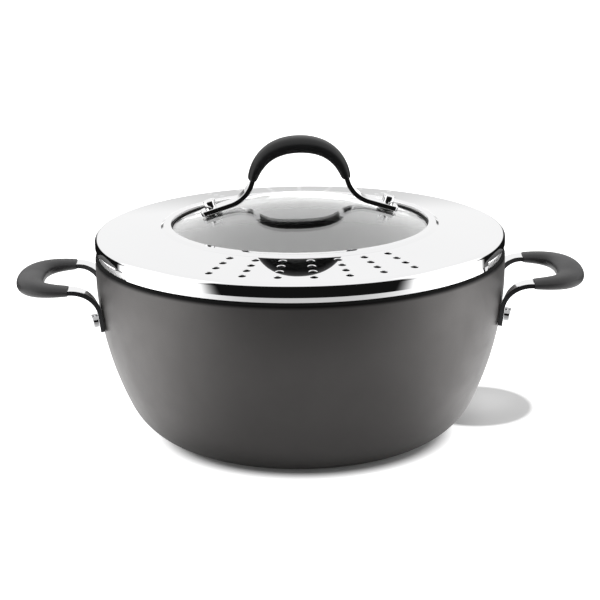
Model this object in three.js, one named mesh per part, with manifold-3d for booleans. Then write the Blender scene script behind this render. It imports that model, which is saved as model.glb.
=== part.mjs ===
// Casserole pot with a straining lid.
// Millimetres, +Z up. The origin is the middle of the base, on the surface that the pot stands on.
// +X runs through the right side handle, and -Y is the front.

import * as THREE from 'three';
import { mergeVertices } from 'three/addons/utils/BufferGeometryUtils.js';
import Module from 'manifold-3d';

const wasm = await Module();
wasm.setup();

// Clearances
const SEAT_GAP = 0.3; // between pieces that rest on each other
const SHANK_GAP = 0.3; // round a rivet or bolt in its hole
const LID_PLAY = 0.5; // between the pot's rim and the lid's hem round it

// Pot body
const POT_RADIUS = 144; // outside of the wall below the rim
const WALL = 4.2;
const BASE_THICKNESS = 6;
const LEDGE_HEIGHT = 133.6; // step round the top, which the lid stands on
const LEDGE_WIDTH = 2.2;
const LEDGE_ROUNDING = 1.9;
const RIM_RISE = 8.9; // rim above the ledge
const RIM_ROUNDING = 0.6;
const UPRIGHT_BAND = 10; // straight band of wall below the ledge
const FLANK_RADIUS = 219; // long curve of the side
const HEEL_RADIUS = 50.5; // tight curve from the side into the flat base

// Handle straps: one bar section serves all three handles
const STRAP_WIDTH = 13;
const STRAP_THICKNESS = 3.6;
const GRIP_END_WALL = 0.7; // sleeve beside the bar at its ends
const GRIP_END_COVER = 1; // sleeve above and below the bar at its ends
const WIDTH_SWELL = 1.5; // exponent: the higher, the nearer the middle a sleeve widens
const THICKNESS_SWELL = 0.7; // the same for its thickness

// Side handles
const RIVET_DROP = 39.3; // ledge down to the rivets
const LEG_SPACING = 68; // between the two rivets of one handle
const FOOT_TAIL = 8.8; // bar below the rivet
const SIDE_BEND_RADIUS = 19;
const SIDE_LEG_RUN = 1.8; // level bar between the bend and the sleeve
const HANDLE_REACH = 56.3; // wall to the outermost point of the grip
const HANDLE_DROOP = 1.2; // fall from the sleeve's ends to its middle
const LEG_PULL = 22; // how long the loop keeps the legs' direction
const LOOP_PULL = 25; // how long the loop keeps straight across its middle
const SIDE_GRIP_WIDTH = 19.5;
const SIDE_GRIP_THICKNESS = 11.4;

// Side handle rivets
const RIVET_SHANK = 5;
const RIVET_HEAD = 9.6;
const RIVET_HEAD_HEIGHT = 3.4;
const RIVET_HEAD_CHAMFER = 0.7;
const INNER_HEAD = 10;
const INNER_HEAD_HEIGHT = 1.8;

// Lid ring
const LID_TURN = 3.2; // degrees that the lid lies turned on the pot
const SHEET = 1; // pressed steel sheet
const SKIRT_HEIGHT = 13.2; // lower edge up to the corner of skirt and cone, before rounding
const SHOULDER_RADIUS = 3.5;
const HEM_HEIGHT = 3.6; // rolled edge at the foot of the skirt
const HEM_TUCK = 0.8; // how far its foot turns inwards
const RING_FALL = 6.4; // degrees that the cone falls outwards
const NOTCH_HALF_ANGLE = 31.8; // degrees to each side of the handles
const NOTCH_RISE = 4.7; // how much of the skirt is cut away there
const LIP_RISE = 1.83; // folded lip above the cone
const LIP_COVER = 4.4; // folded lip over the glass
const LIP_SLOPE = 2.2; // width of the slope from the cone up to the lip
const LIP_CHAMFER = 0.8; // inner edge of the lip

// Strainers: rows of holes through the cone, larger in front than behind
const ROW_COUNT = 7;
const ROW_STEP = 10.21; // degrees
const HOLE_PITCH = 9.67; // along a row
const STRAINER_INSET = 6; // folded lip to the innermost holes
const STRAINER_EDGE = 6; // plain cone outside the outermost holes
const FRONT_HOLE = 5;
const REAR_HOLE = 3;
const REAR_TURN = -3.8; // degrees that the rear strainer lies off the front one's line

// Glass and its seal
const GLASS_RADIUS = 94.7;
const GLASS_CURVE = 200; // radius of the dome's outer face
const GLASS_FALL = 18.7; // degrees that the straight margin round the dome falls
const GLASS_SINK = 3.32; // top of the lip down to the glass beside it
const GLASS_THICKNESS = 4;
const SEAL_WEB = 1.2;
const SEAL_LEG = 0.7;
const SEAL_SHOWS = 0.6; // seal beyond the steel lip

// Lid handle
const LID_BOLT_SPACING = 121;
const LID_FOOT_TAIL = 8.1; // bar outside the bolt
const LID_FOOT_LEAD = 13.6; // flat bar inside the bolt
const LID_BEND_RADIUS = 22.9;
const LID_LEG_ANGLE = 75; // degrees above the level at the end of the bend
const LID_LEG_RUN = 1; // straight bar between the bend and the sleeve
const LID_HANDLE_RISE = 44.74; // crown of the glass to the top of the grip
const LID_LEG_PULL = 17;
const LID_TOP_PULL = 17;
const LID_GRIP_WIDTH = 20;
const LID_GRIP_THICKNESS = 11.8;

// Lid bolts, their pads, washers and nuts
const BOLT_SHANK = 5;
const BOLT_HEAD = 8.4;
const BOLT_HEAD_HEIGHT = 5.4;
const BOLT_HEAD_CHAMFER = 0.6;
const PAD_DIAMETER = 12.4;
const PAD_THICKNESS = 0.6;
const WASHER_DIAMETER = 14;
const WASHER_THICKNESS = 1;
const NUT_FLANGE = 12;
const NUT_FLANGE_HEIGHT = 1.2;
const NUT_HEX = 9.2; // across corners
const NUT_HEIGHT = 4.6;
const BOLT_END = 0.8; // bolt beyond its nut

// Smoothness of round shapes
const ROUND = 48; // sides of the pot and the lid ring
const GLASS_ROUND = 36;
const SMALL_ROUND = 12;
const SECTION_POINTS = 12; // corners of a bar's or sleeve's section
const LOOP_STEPS = 6; // half of a handle's loop
const BEND_STEPS = 4;
const HEEL_STEPS = 5;
const FLANK_STEPS = 6;
const SHOULDER_STEPS = 4;
const CORNER_STEPS = 2;
const GLASS_RINGS = 9;
const NOTCH_STEPS = 12;
const FRONT_HOLE_SIDES = 8;
const REAR_HOLE_SIDES = 6;
const BAR_SQUARENESS = 6; // exponent of the bar's rounded section
const SLEEVE_SQUARENESS = 2.4;
const CUT_THROUGH = 6; // cutters are this many times as long as the wall they go through

// Sizes that follow from those above
const radians = THREE.MathUtils.degToRad;
const rimRadius = POT_RADIUS - LEDGE_WIDTH;
const innerRadius = POT_RADIUS - WALL;
const rimTop = LEDGE_HEIGHT + RIM_RISE;
const uprightFrom = LEDGE_HEIGHT - UPRIGHT_BAND;
const lidRadius = POT_RADIUS; // the skirt stands flush with the pot's wall
const hemBottom = LEDGE_HEIGHT + SEAT_GAP;
const hemRadius = rimRadius + LID_PLAY;
const coneFall = Math.tan(radians(RING_FALL));
const coneSheet = SHEET / Math.cos(radians(RING_FALL));
const lipRadius = GLASS_RADIUS - LIP_COVER;
const sealRadius = GLASS_RADIUS + SEAT_GAP + SEAL_WEB;
const channelRadius = sealRadius + SEAT_GAP;
const collarRadius = channelRadius + SHEET;
const coneTop = (radius) => hemBottom + SKIRT_HEIGHT + (lidRadius - radius) * coneFall;
const lipTop = coneTop(collarRadius) + LIP_RISE;
const glassCrown = lipTop - GLASS_SINK + domeDrop(GLASS_CURVE, lipRadius);
const glassTop = (radius) => glassCrown - domeDrop(GLASS_CURVE, radius);
const innerCurve = GLASS_CURVE - GLASS_THICKNESS;
const glassUnder = (radius) => glassCrown - GLASS_THICKNESS - domeDrop(innerCurve, radius);
const sealTop = (radius) => glassTop(radius) + SEAT_GAP + SEAL_LEG;
const sealBottom = (radius) => glassUnder(radius) - SEAT_GAP - SEAL_LEG;
const lipUnder = (radius) => sealTop(radius) + SEAT_GAP;
const lowerLipTop = (radius) => sealBottom(radius) - SEAT_GAP;

const finish = (color, roughness, metalness) => {
  return new THREE.MeshStandardMaterial({ color, roughness, metalness });
};
const ANODISED = finish(0x4a4745, 0.5, 0.6);
const STEEL = finish(0xd9dadc, 0.12, 1);
const SIDE_SILICONE = finish(0x3f3e40, 0.6, 0);
const LID_SILICONE = finish(0x222224, 0.5, 0);
const SEAL_SILICONE = finish(0x141415, 0.7, 0);
const GLASS = finish(0xb9c0c2, 0.05, 0);

const point = (x, y) => new THREE.Vector2(x, y);

// Drop below its crown of a dome that runs out into a straight margin
function domeDrop(curve, radius) {
  const round = Math.min(radius, curve * Math.sin(radians(GLASS_FALL)));
  const height = Math.sqrt(curve ** 2 - round ** 2);
  return curve - height + (radius - round) * (round / height);
}

// Points of an arc about a centre, from one angle to another, in radians
function arc(centre, radius, from, to, steps) {
  return Array.from({ length: steps + 1 }, (_, step) => {
    const angle = THREE.MathUtils.lerp(from, to, step / steps);
    return point(centre.x + radius * Math.cos(angle), centre.y + radius * Math.sin(angle));
  });
}

// Closed mesh with shared corners and no collapsed triangles
function welded(geometry) {
  geometry.deleteAttribute('normal');
  geometry.deleteAttribute('uv');
  const merged = mergeVertices(geometry, 1e-4);
  const corners = merged.index.array;
  const kept = [];
  for (let i = 0; i < corners.length; i += 3) {
    const [a, b, c] = corners.slice(i, i + 3);
    if (a !== b && b !== c && c !== a) kept.push(a, b, c);
  }
  merged.setIndex(kept);
  return merged;
}

// Solid of revolution about Z: the profile runs up its outside and down its inside
function revolved(profile, sides) {
  return welded(new THREE.LatheGeometry(profile, sides).rotateX(Math.PI / 2));
}

function toManifold(geometry) {
  const closed = welded(geometry.clone());
  const mesh = new wasm.Mesh({
    numProp: 3,
    vertProperties: new Float32Array(closed.attributes.position.array),
    triVerts: new Uint32Array(closed.index.array),
  });
  return new wasm.Manifold(mesh);
}

function toGeometry(manifold) {
  const mesh = manifold.getMesh();
  const geometry = new THREE.BufferGeometry();
  geometry.setAttribute('position', new THREE.BufferAttribute(mesh.vertProperties, 3));
  geometry.setIndex(new THREE.BufferAttribute(mesh.triVerts, 1));
  return geometry;
}

// Takes every cutter away from a geometry
function cut(geometry, cutters) {
  const tools = cutters.map(toManifold).reduce((joined, tool) => joined.add(tool));
  return toGeometry(toManifold(geometry).subtract(tools));
}

// Round cutter along Z
function drill(diameter, length, sides = SMALL_ROUND) {
  return new THREE.CylinderGeometry(diameter / 2, diameter / 2, length, sides).rotateX(Math.PI / 2);
}

function piece(name, geometry, material) {
  const mesh = new THREE.Mesh(geometry, material);
  mesh.name = name;
  return mesh;
}

// Placement whose Z runs along a direction, at a point
function placeAlong(position, direction) {
  const turn = new THREE.Quaternion().setFromUnitVectors(new THREE.Vector3(0, 0, 1), direction);
  return new THREE.Matrix4().compose(position, turn, new THREE.Vector3(1, 1, 1));
}

// Wall curve from the axis out along the floor, round the heel and up the flank
function wallCurve(radius, flank, heel, floor) {
  const flankCentre = point(radius - flank, uprightFrom);
  const rise = uprightFrom - floor - heel;
  const heelCentre = point(flankCentre.x + Math.sqrt((flank - heel) ** 2 - rise ** 2), floor + heel);
  const meet = -Math.asin(rise / (flank - heel));
  return [
    point(0, floor),
    ...arc(heelCentre, heel, -Math.PI / 2, meet, HEEL_STEPS),
    ...arc(flankCentre, flank, meet, 0, FLANK_STEPS).slice(1),
  ];
}

// Outside radius of the flank at a height, and how far it leans from upright there
function flankAt(height) {
  const lean = Math.asin(Math.max(0, uprightFrom - height) / FLANK_RADIUS);
  return { radius: POT_RADIUS - FLANK_RADIUS * (1 - Math.cos(lean)), lean };
}

// Where each rivet goes through the wall, on a leg of the right handle
const rivetHeight = LEDGE_HEIGHT - RIVET_DROP;
const footWall = flankAt(rivetHeight);
const legAngle = Math.asin(LEG_SPACING / 2 / footWall.radius);

function rivetPlace(side) {
  const angle = side * legAngle;
  const outward = new THREE.Vector3(Math.cos(angle), Math.sin(angle), 0);
  const position = outward.clone().multiplyScalar(footWall.radius).setZ(rivetHeight);
  const axis = outward.multiplyScalar(Math.cos(footWall.lean)).setZ(-Math.sin(footWall.lean));
  return placeAlong(position, axis);
}

const LEGS = [1, -1];
const SIDES = [{ name: 'right', turn: 0 }, { name: 'left', turn: Math.PI }];

function potBody() {
  const outside = wallCurve(POT_RADIUS, FLANK_RADIUS, HEEL_RADIUS, 0);
  const innerHeel = HEEL_RADIUS - BASE_THICKNESS;
  const inside = wallCurve(innerRadius, FLANK_RADIUS - WALL, innerHeel, BASE_THICKNESS);
  const ledgeCorner = point(POT_RADIUS - LEDGE_ROUNDING, LEDGE_HEIGHT - LEDGE_ROUNDING);
  const profile = [
    ...outside,
    ...arc(ledgeCorner, LEDGE_ROUNDING, 0, Math.PI / 2, CORNER_STEPS),
    point(rimRadius, LEDGE_HEIGHT),
    point(rimRadius, rimTop - RIM_ROUNDING),
    point(rimRadius - RIM_ROUNDING, rimTop),
    point(innerRadius + RIM_ROUNDING, rimTop),
    point(innerRadius, rimTop - RIM_ROUNDING),
    ...inside.reverse(),
  ];
  const rivetHoles = SIDES.flatMap(({ turn }) => LEGS.map((side) => {
    const hole = drill(RIVET_SHANK + 2 * SHANK_GAP, CUT_THROUGH * WALL);
    return hole.applyMatrix4(rivetPlace(side)).rotateZ(turn);
  }));
  return piece('pot_body', cut(revolved(profile, ROUND), rivetHoles), ANODISED);
}

// Rounded section of a bar or sleeve at a station, which has a place, a direction along the bar and one
// across it
function ring(station, halfWidth, halfThickness, squareness) {
  const up = new THREE.Vector3().crossVectors(station.along, station.across);
  const rounded = (value) => Math.sign(value) * Math.abs(value) ** (2 / squareness);
  return Array.from({ length: SECTION_POINTS }, (_, index) => {
    const angle = (2 * Math.PI * index) / SECTION_POINTS;
    return station.place.clone()
      .addScaledVector(station.across, halfWidth * rounded(Math.cos(angle)))
      .addScaledVector(up, halfThickness * rounded(Math.sin(angle)));
  });
}

function meshOf(points, triangles) {
  const geometry = new THREE.BufferGeometry().setFromPoints(points);
  geometry.setIndex(triangles);
  return geometry;
}

const next = (index) => (index + 1) % SECTION_POINTS;

// Triangles between consecutive rings of corners, which are numbered on from the first
function skin(ringCount, first) {
  const triangles = [];
  for (let i = 0; i < ringCount - 1; i += 1) {
    const near = first + i * SECTION_POINTS;
    const far = near + SECTION_POINTS;
    for (let j = 0; j < SECTION_POINTS; j += 1) {
      triangles.push([near + j, near + next(j), far + next(j)], [near + j, far + next(j), far + j]);
    }
  }
  return triangles;
}

const flipped = (triangles) => triangles.map(([a, b, c]) => [a, c, b]);

function bar(stations) {
  const rings = stations.map((s) => ring(s, s.halfWidth, STRAP_THICKNESS / 2, BAR_SQUARENESS));
  const lastRing = (stations.length - 1) * SECTION_POINTS;
  const fan = (first) => Array.from({ length: SECTION_POINTS - 2 }, (_, j) => {
    return [first, first + j + 1, first + j + 2];
  });
  const triangles = [...skin(stations.length, 0), ...flipped(fan(0)), ...fan(lastRing)];
  return meshOf(rings.flat(), triangles.flat());
}

// Sleeve that swells from thin ends to its full section half way along
function sleeve(stations, width, thickness) {
  const channelWidth = STRAP_WIDTH / 2 + SEAT_GAP;
  const channelThickness = STRAP_THICKNESS / 2 + SEAT_GAP;
  const outer = stations.map((station, index) => {
    const share = Math.max(0, Math.sin((Math.PI * index) / (stations.length - 1)));
    const endWidth = channelWidth + GRIP_END_WALL;
    const endThickness = channelThickness + GRIP_END_COVER;
    const halfWidth = THREE.MathUtils.lerp(endWidth, width / 2, share ** WIDTH_SWELL);
    const halfThickness = THREE.MathUtils.lerp(endThickness, thickness / 2, share ** THICKNESS_SWELL);
    return ring(station, halfWidth, halfThickness, SLEEVE_SQUARENESS);
  });
  const channel = stations.map((s) => ring(s, channelWidth, channelThickness, BAR_SQUARENESS));
  const offset = stations.length * SECTION_POINTS;
  const lastRing = offset - SECTION_POINTS;
  const endFace = (first) => Array.from({ length: SECTION_POINTS }, (_, j) => [
    [first + j, first + offset + j, first + offset + next(j)],
    [first + j, first + offset + next(j), first + next(j)],
  ]).flat();
  const triangles = [
    ...skin(stations.length, 0),
    ...flipped(skin(stations.length, offset)),
    ...endFace(0),
    ...flipped(endFace(lastRing)),
  ];
  return meshOf([...outer, ...channel].flat(), triangles.flat());
}

// Rounded end of a bar: distance from the tip, and the share of the full width there
const FOOT_END = [{ from: 0, share: 0.5 }, { from: 1.2, share: 0.8 }, { from: 3.6, share: 1 }];

const station = (place, along, across, share = 1) => ({
  place, along, across, halfWidth: (share * STRAP_WIDTH) / 2,
});

// Other half of a symmetrical handle: mirrored, and run the other way
function withMirror(half, mirror) {
  const other = half.slice(0, -1).reverse().map((s) => ({
    place: s.place.clone().multiply(mirror),
    along: s.along.clone().multiply(mirror).negate(),
    across: s.across.clone().multiply(mirror),
    halfWidth: s.halfWidth,
  }));
  return [...half, ...other];
}

// One leg of a handle in its own upright plane, as points (distance, height): from the foot's tip along
// the foot, through its bolted middle, round the bend and on to the sleeve. Angles are measured up from
// the level, and towards is 1 or -1 for the way that the bar runs.
function legPath(foot, startAngle, endAngle, { tail, lead, bendRadius, run, towards }) {
  const heading = (angle) => point(towards * Math.cos(angle), Math.sin(angle));
  const onFoot = (distance) => foot.clone().addScaledVector(heading(startAngle), distance);
  const path = FOOT_END.map(({ from, share }) => ({
    place: onFoot(from - tail), heading: heading(startAngle), share,
  }));
  const bendStart = onFoot(lead);
  const turnSign = Math.sign(endAngle - startAngle);
  const sideways = point(-towards * Math.sin(startAngle), Math.cos(startAngle)).multiplyScalar(turnSign);
  const centre = bendStart.clone().addScaledVector(sideways, bendRadius);
  for (let step = 0; step <= BEND_STEPS; step += 1) {
    const angle = THREE.MathUtils.lerp(startAngle, endAngle, step / BEND_STEPS);
    const out = point(towards * Math.sin(angle), -Math.cos(angle)).multiplyScalar(turnSign * bendRadius);
    path.push({ place: centre.clone().add(out), heading: heading(angle), share: 1 });
  }
  const bendEnd = path.at(-1).place;
  path.push({ ...path.at(-1), place: bendEnd.clone().addScaledVector(heading(endAngle), run) });
  return path;
}

// Stations of a handle from one leg's end to the other's, where the sleeve goes
function betweenLegs(stations) {
  const legStations = FOOT_END.length + BEND_STEPS + 1;
  return stations.slice(legStations, stations.length - legStations);
}

// Stations along a loop curve, after its first point
function loopStations(curve, acrossOf) {
  return Array.from({ length: LOOP_STEPS }, (_, index) => {
    const t = (index + 1) / LOOP_STEPS;
    const along = curve.getTangent(t);
    return station(curve.getPoint(t), along, acrossOf(along));
  });
}

// Right side handle: each foot lies square on the wall, its leg turns to run straight out along X, and
// the loop joins the two legs
function sideHandleStations() {
  const seat = SEAT_GAP + STRAP_THICKNESS / 2;
  const foot = point(
    footWall.radius + seat * Math.cos(footWall.lean),
    rivetHeight - seat * Math.sin(footWall.lean),
  );
  const leg = legPath(foot, Math.PI / 2 - footWall.lean, 0, {
    tail: FOOT_TAIL,
    lead: RIVET_HEAD / 2 + SEAT_GAP,
    bendRadius: SIDE_BEND_RADIUS,
    run: SIDE_LEG_RUN,
    towards: 1,
  });
  const bendStart = leg[FOOT_END.length].place.x;
  const turnRadius = (leg.at(-1).place.x - bendStart) / legAngle;
  const half = leg.map(({ place, heading, share }) => {
    const turned = Math.max(0, place.x - bendStart) / turnRadius;
    const angle = legAngle - turned;
    const outward = new THREE.Vector3(Math.cos(angle), Math.sin(angle), 0);
    const straight = Math.min(place.x, bendStart);
    const position = new THREE.Vector3(
      straight * Math.cos(legAngle) + turnRadius * (Math.sin(legAngle) - Math.sin(angle)),
      straight * Math.sin(legAngle) + turnRadius * (Math.cos(angle) - Math.cos(legAngle)),
      place.y,
    );
    const along = outward.clone().multiplyScalar(heading.x).setZ(heading.y);
    return station(position, along, new THREE.Vector3(-outward.y, outward.x, 0), share);
  });
  const legEnd = half.at(-1).place;
  const middle = new THREE.Vector3(
    POT_RADIUS + HANDLE_REACH - SIDE_GRIP_WIDTH / 2, 0, legEnd.z - HANDLE_DROOP,
  );
  const loop = new THREE.CubicBezierCurve3(
    legEnd,
    legEnd.clone().addScaledVector(half.at(-1).along, LEG_PULL),
    middle.clone().setY(LOOP_PULL),
    middle,
  );
  half.push(...loopStations(loop, (along) => new THREE.Vector3(-along.y, along.x, 0).normalize()));
  return withMirror(half, new THREE.Vector3(1, -1, 1));
}

// Rivet along Z, with the wall's outer face at zero: low inner head, shank, and tall outer head
function rivetGeometry() {
  const innerWall = footWall.radius - WALL;
  const dish = (INNER_HEAD / 2) ** 2 * (0.5 / innerWall + 0.5 / (FLANK_RADIUS - WALL));
  const facet = innerWall * (1 - Math.cos(Math.PI / ROUND));
  const innerSeat = -WALL - SEAT_GAP - dish - facet;
  const innerTop = innerSeat - INNER_HEAD_HEIGHT;
  const outerSeat = STRAP_THICKNESS + 2 * SEAT_GAP;
  const outerTop = outerSeat + RIVET_HEAD_HEIGHT;
  return revolved([
    point(0, innerTop),
    point(INNER_HEAD / 4, innerTop + INNER_HEAD_HEIGHT / 8),
    point(INNER_HEAD / 2, innerTop + INNER_HEAD_HEIGHT / 2),
    point(INNER_HEAD / 2, innerSeat),
    point(RIVET_SHANK / 2, innerSeat),
    point(RIVET_SHANK / 2, outerSeat),
    point(RIVET_HEAD / 2, outerSeat),
    point(RIVET_HEAD / 2, outerTop - RIVET_HEAD_CHAMFER),
    point(RIVET_HEAD / 2 - RIVET_HEAD_CHAMFER, outerTop),
    point(0, outerTop),
  ], SMALL_ROUND);
}

function sideHandle({ name, turn }) {
  const handle = new THREE.Group();
  const stations = sideHandleStations();
  const holes = LEGS.map((side) => {
    const hole = drill(RIVET_SHANK + 2 * SHANK_GAP, CUT_THROUGH * STRAP_THICKNESS);
    return hole.applyMatrix4(rivetPlace(side));
  });
  handle.add(piece(`${name}_side_strap`, cut(bar(stations), holes), STEEL));
  const sleeved = betweenLegs(stations);
  const grip = sleeve(sleeved, SIDE_GRIP_WIDTH, SIDE_GRIP_THICKNESS);
  handle.add(piece(`${name}_side_grip`, grip, SIDE_SILICONE));
  LEGS.forEach((side) => {
    const faces = side * Math.cos(turn) > 0 ? 'rear' : 'front';
    handle.add(piece(`${name}_${faces}_rivet`, rivetGeometry().applyMatrix4(rivetPlace(side)), STEEL));
  });
  handle.rotation.z = turn;
  return handle;
}

// Rows of holes about a direction, all through the cone
function strainerHoles(direction, diameter, sides) {
  const first = collarRadius + STRAINER_INSET;
  const last = lidRadius - SHOULDER_RADIUS - STRAINER_EDGE;
  const holesInRow = Math.floor((last - first) / HOLE_PITCH) + 1;
  const holes = [];
  for (let row = 0; row < ROW_COUNT; row += 1) {
    const angle = radians(direction + (row - (ROW_COUNT - 1) / 2) * ROW_STEP);
    for (let index = 0; index < holesInRow; index += 1) {
      const radius = first + index * HOLE_PITCH;
      const hole = drill(diameter, CUT_THROUGH * SHEET, sides);
      holes.push(hole.translate(radius, 0, coneTop(radius)).rotateZ(angle));
    }
  }
  return holes;
}

// Cutter for the skirt beside a side handle: a sector of a ring, as tall as the part cut away
function skirtNotch(direction) {
  const outside = lidRadius + SHEET;
  const inside = rimRadius - LEDGE_WIDTH;
  const half = radians(NOTCH_HALF_ANGLE);
  const sector = new THREE.Shape();
  sector.absarc(0, 0, outside, -half, half, false);
  sector.absarc(0, 0, inside, half, -half, true);
  const height = NOTCH_RISE + SEAT_GAP;
  const size = { depth: height, bevelEnabled: false, curveSegments: NOTCH_STEPS };
  const notch = new THREE.ExtrudeGeometry(sector, size);
  return notch.translate(0, 0, hemBottom - SEAT_GAP).rotateZ(direction);
}

function lidRing() {
  const fall = radians(RING_FALL);
  const shoulder = point(
    lidRadius - SHOULDER_RADIUS,
    coneTop(lidRadius - SHOULDER_RADIUS) - SHOULDER_RADIUS / Math.cos(fall),
  );
  const coneNormal = Math.PI / 2 - fall;
  const skirtInner = lidRadius - SHEET;
  const hemTop = hemBottom + HEM_HEIGHT;
  const profile = [
    point(hemRadius, hemBottom),
    point(lidRadius - HEM_TUCK, hemBottom),
    point(lidRadius, hemTop),
    ...arc(shoulder, SHOULDER_RADIUS, 0, coneNormal, SHOULDER_STEPS),
    point(collarRadius, coneTop(collarRadius)),
    point(collarRadius - LIP_SLOPE, lipTop),
    point(lipRadius + LIP_CHAMFER, lipTop),
    point(lipRadius, lipTop - LIP_CHAMFER),
    point(lipRadius, lipUnder(lipRadius)),
    point(channelRadius, lipUnder(channelRadius)),
    point(channelRadius, lowerLipTop(channelRadius)),
    point(lipRadius, lowerLipTop(lipRadius)),
    point(lipRadius, lowerLipTop(lipRadius) - SHEET),
    point(collarRadius, lowerLipTop(channelRadius) - SHEET),
    point(collarRadius, coneTop(collarRadius) - coneSheet),
    ...arc(shoulder, SHOULDER_RADIUS - SHEET, coneNormal, 0, SHOULDER_STEPS),
    point(skirtInner, hemTop + skirtInner - hemRadius),
    point(hemRadius, hemTop),
    point(hemRadius, hemBottom),
  ];
  const cutters = [
    ...strainerHoles(-90, FRONT_HOLE, FRONT_HOLE_SIDES),
    ...strainerHoles(90 + REAR_TURN, REAR_HOLE, REAR_HOLE_SIDES),
    ...SIDES.map(({ turn }) => skirtNotch(turn)),
  ];
  return piece('lid_ring', cut(revolved(profile, ROUND), cutters), STEEL);
}

function glassSeal() {
  const tip = lipRadius - SEAL_SHOWS;
  const web = GLASS_RADIUS + SEAT_GAP;
  return piece('glass_seal', revolved([
    point(tip, sealBottom(tip)),
    point(sealRadius, sealBottom(sealRadius)),
    point(sealRadius, sealTop(sealRadius)),
    point(tip, sealTop(tip)),
    point(tip, glassTop(tip) + SEAT_GAP),
    point(web, glassTop(web) + SEAT_GAP),
    point(web, glassUnder(web) - SEAT_GAP),
    point(tip, glassUnder(tip) - SEAT_GAP),
    point(tip, sealBottom(tip)),
  ], GLASS_ROUND), SEAL_SILICONE);
}

// The two bolts stand square to the dome; a bolt's place has Z along it and the glass's outer face at zero
const boltRadius = LID_BOLT_SPACING / 2;
const boltLean = Math.min(Math.asin(boltRadius / GLASS_CURVE), radians(GLASS_FALL));

function boltPlace(side) {
  const position = new THREE.Vector3(side * boltRadius, 0, glassTop(boltRadius));
  return placeAlong(position, new THREE.Vector3(side * Math.sin(boltLean), 0, Math.cos(boltLean)));
}

const padTop = SEAT_GAP + PAD_THICKNESS;
const strapUnder = padTop + SEAT_GAP;
const washerTop = -GLASS_THICKNESS - SEAT_GAP;
const nutTop = washerTop - WASHER_THICKNESS - SEAT_GAP;

function lidGlass() {
  const rings = Array.from({ length: GLASS_RINGS + 1 }, (_, index) => (index / GLASS_RINGS) * GLASS_RADIUS);
  const under = rings.map((radius) => point(radius, glassUnder(radius)));
  const top = rings.map((radius) => point(radius, glassTop(radius))).reverse();
  const holes = LEGS.map((side) => {
    return drill(BOLT_SHANK + 2 * SHANK_GAP, CUT_THROUGH * GLASS_THICKNESS).applyMatrix4(boltPlace(side));
  });
  return piece('lid_glass', cut(revolved([...under, ...top], GLASS_ROUND), holes), GLASS);
}

// Lid handle, in the upright plane along X: from the right foot over the arch to the left foot
function lidHandleStations() {
  const seat = strapUnder + STRAP_THICKNESS / 2;
  const foot = point(
    boltRadius + seat * Math.sin(boltLean),
    glassTop(boltRadius) + seat * Math.cos(boltLean),
  );
  const leg = legPath(foot, boltLean, radians(LID_LEG_ANGLE), {
    tail: LID_FOOT_TAIL,
    lead: LID_FOOT_LEAD,
    bendRadius: LID_BEND_RADIUS,
    run: LID_LEG_RUN,
    towards: -1,
  });
  const across = new THREE.Vector3(0, -1, 0);
  const half = leg.map(({ place, heading, share }) => station(
    new THREE.Vector3(place.x, 0, place.y), new THREE.Vector3(heading.x, 0, heading.y), across, share,
  ));
  const legEnd = half.at(-1);
  const top = new THREE.Vector3(0, 0, glassCrown + LID_HANDLE_RISE - LID_GRIP_THICKNESS / 2);
  const arch = new THREE.CubicBezierCurve3(
    legEnd.place,
    legEnd.place.clone().addScaledVector(legEnd.along, LID_LEG_PULL),
    top.clone().setX(LID_TOP_PULL),
    top,
  );
  half.push(...loopStations(arch, () => across));
  return withMirror(half, new THREE.Vector3(-1, 1, 1));
}

function boltGeometry() {
  const headSeat = strapUnder + STRAP_THICKNESS + SEAT_GAP;
  const headTop = headSeat + BOLT_HEAD_HEIGHT;
  const end = nutTop - NUT_HEIGHT - BOLT_END;
  return revolved([
    point(0, end),
    point(BOLT_SHANK / 2, end),
    point(BOLT_SHANK / 2, headSeat),
    point(BOLT_HEAD / 2, headSeat),
    point(BOLT_HEAD / 2, headTop - BOLT_HEAD_CHAMFER),
    point(BOLT_HEAD / 2 - BOLT_HEAD_CHAMFER, headTop),
    point(0, headTop),
  ], SMALL_ROUND);
}

// Flat ring along Z, from its top downwards, with room for the bolt
function washerGeometry(diameter, thickness, top) {
  const hole = BOLT_SHANK / 2 + SHANK_GAP;
  return revolved([
    point(hole, top - thickness),
    point(diameter / 2, top - thickness),
    point(diameter / 2, top),
    point(hole, top),
    point(hole, top - thickness),
  ], SMALL_ROUND);
}

// Six-sided nut with a round flange towards the washer
function nutGeometry() {
  const hexHeight = NUT_HEIGHT - NUT_FLANGE_HEIGHT;
  const flange = drill(NUT_FLANGE, NUT_FLANGE_HEIGHT).translate(0, 0, nutTop - NUT_FLANGE_HEIGHT / 2);
  const hex = drill(NUT_HEX, hexHeight, 6).translate(0, 0, nutTop - NUT_FLANGE_HEIGHT - hexHeight / 2);
  const bore = drill(BOLT_SHANK + 2 * SHANK_GAP, CUT_THROUGH * NUT_HEIGHT).translate(0, 0, nutTop);
  return toGeometry(toManifold(flange).add(toManifold(hex)).subtract(toManifold(bore)));
}

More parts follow.
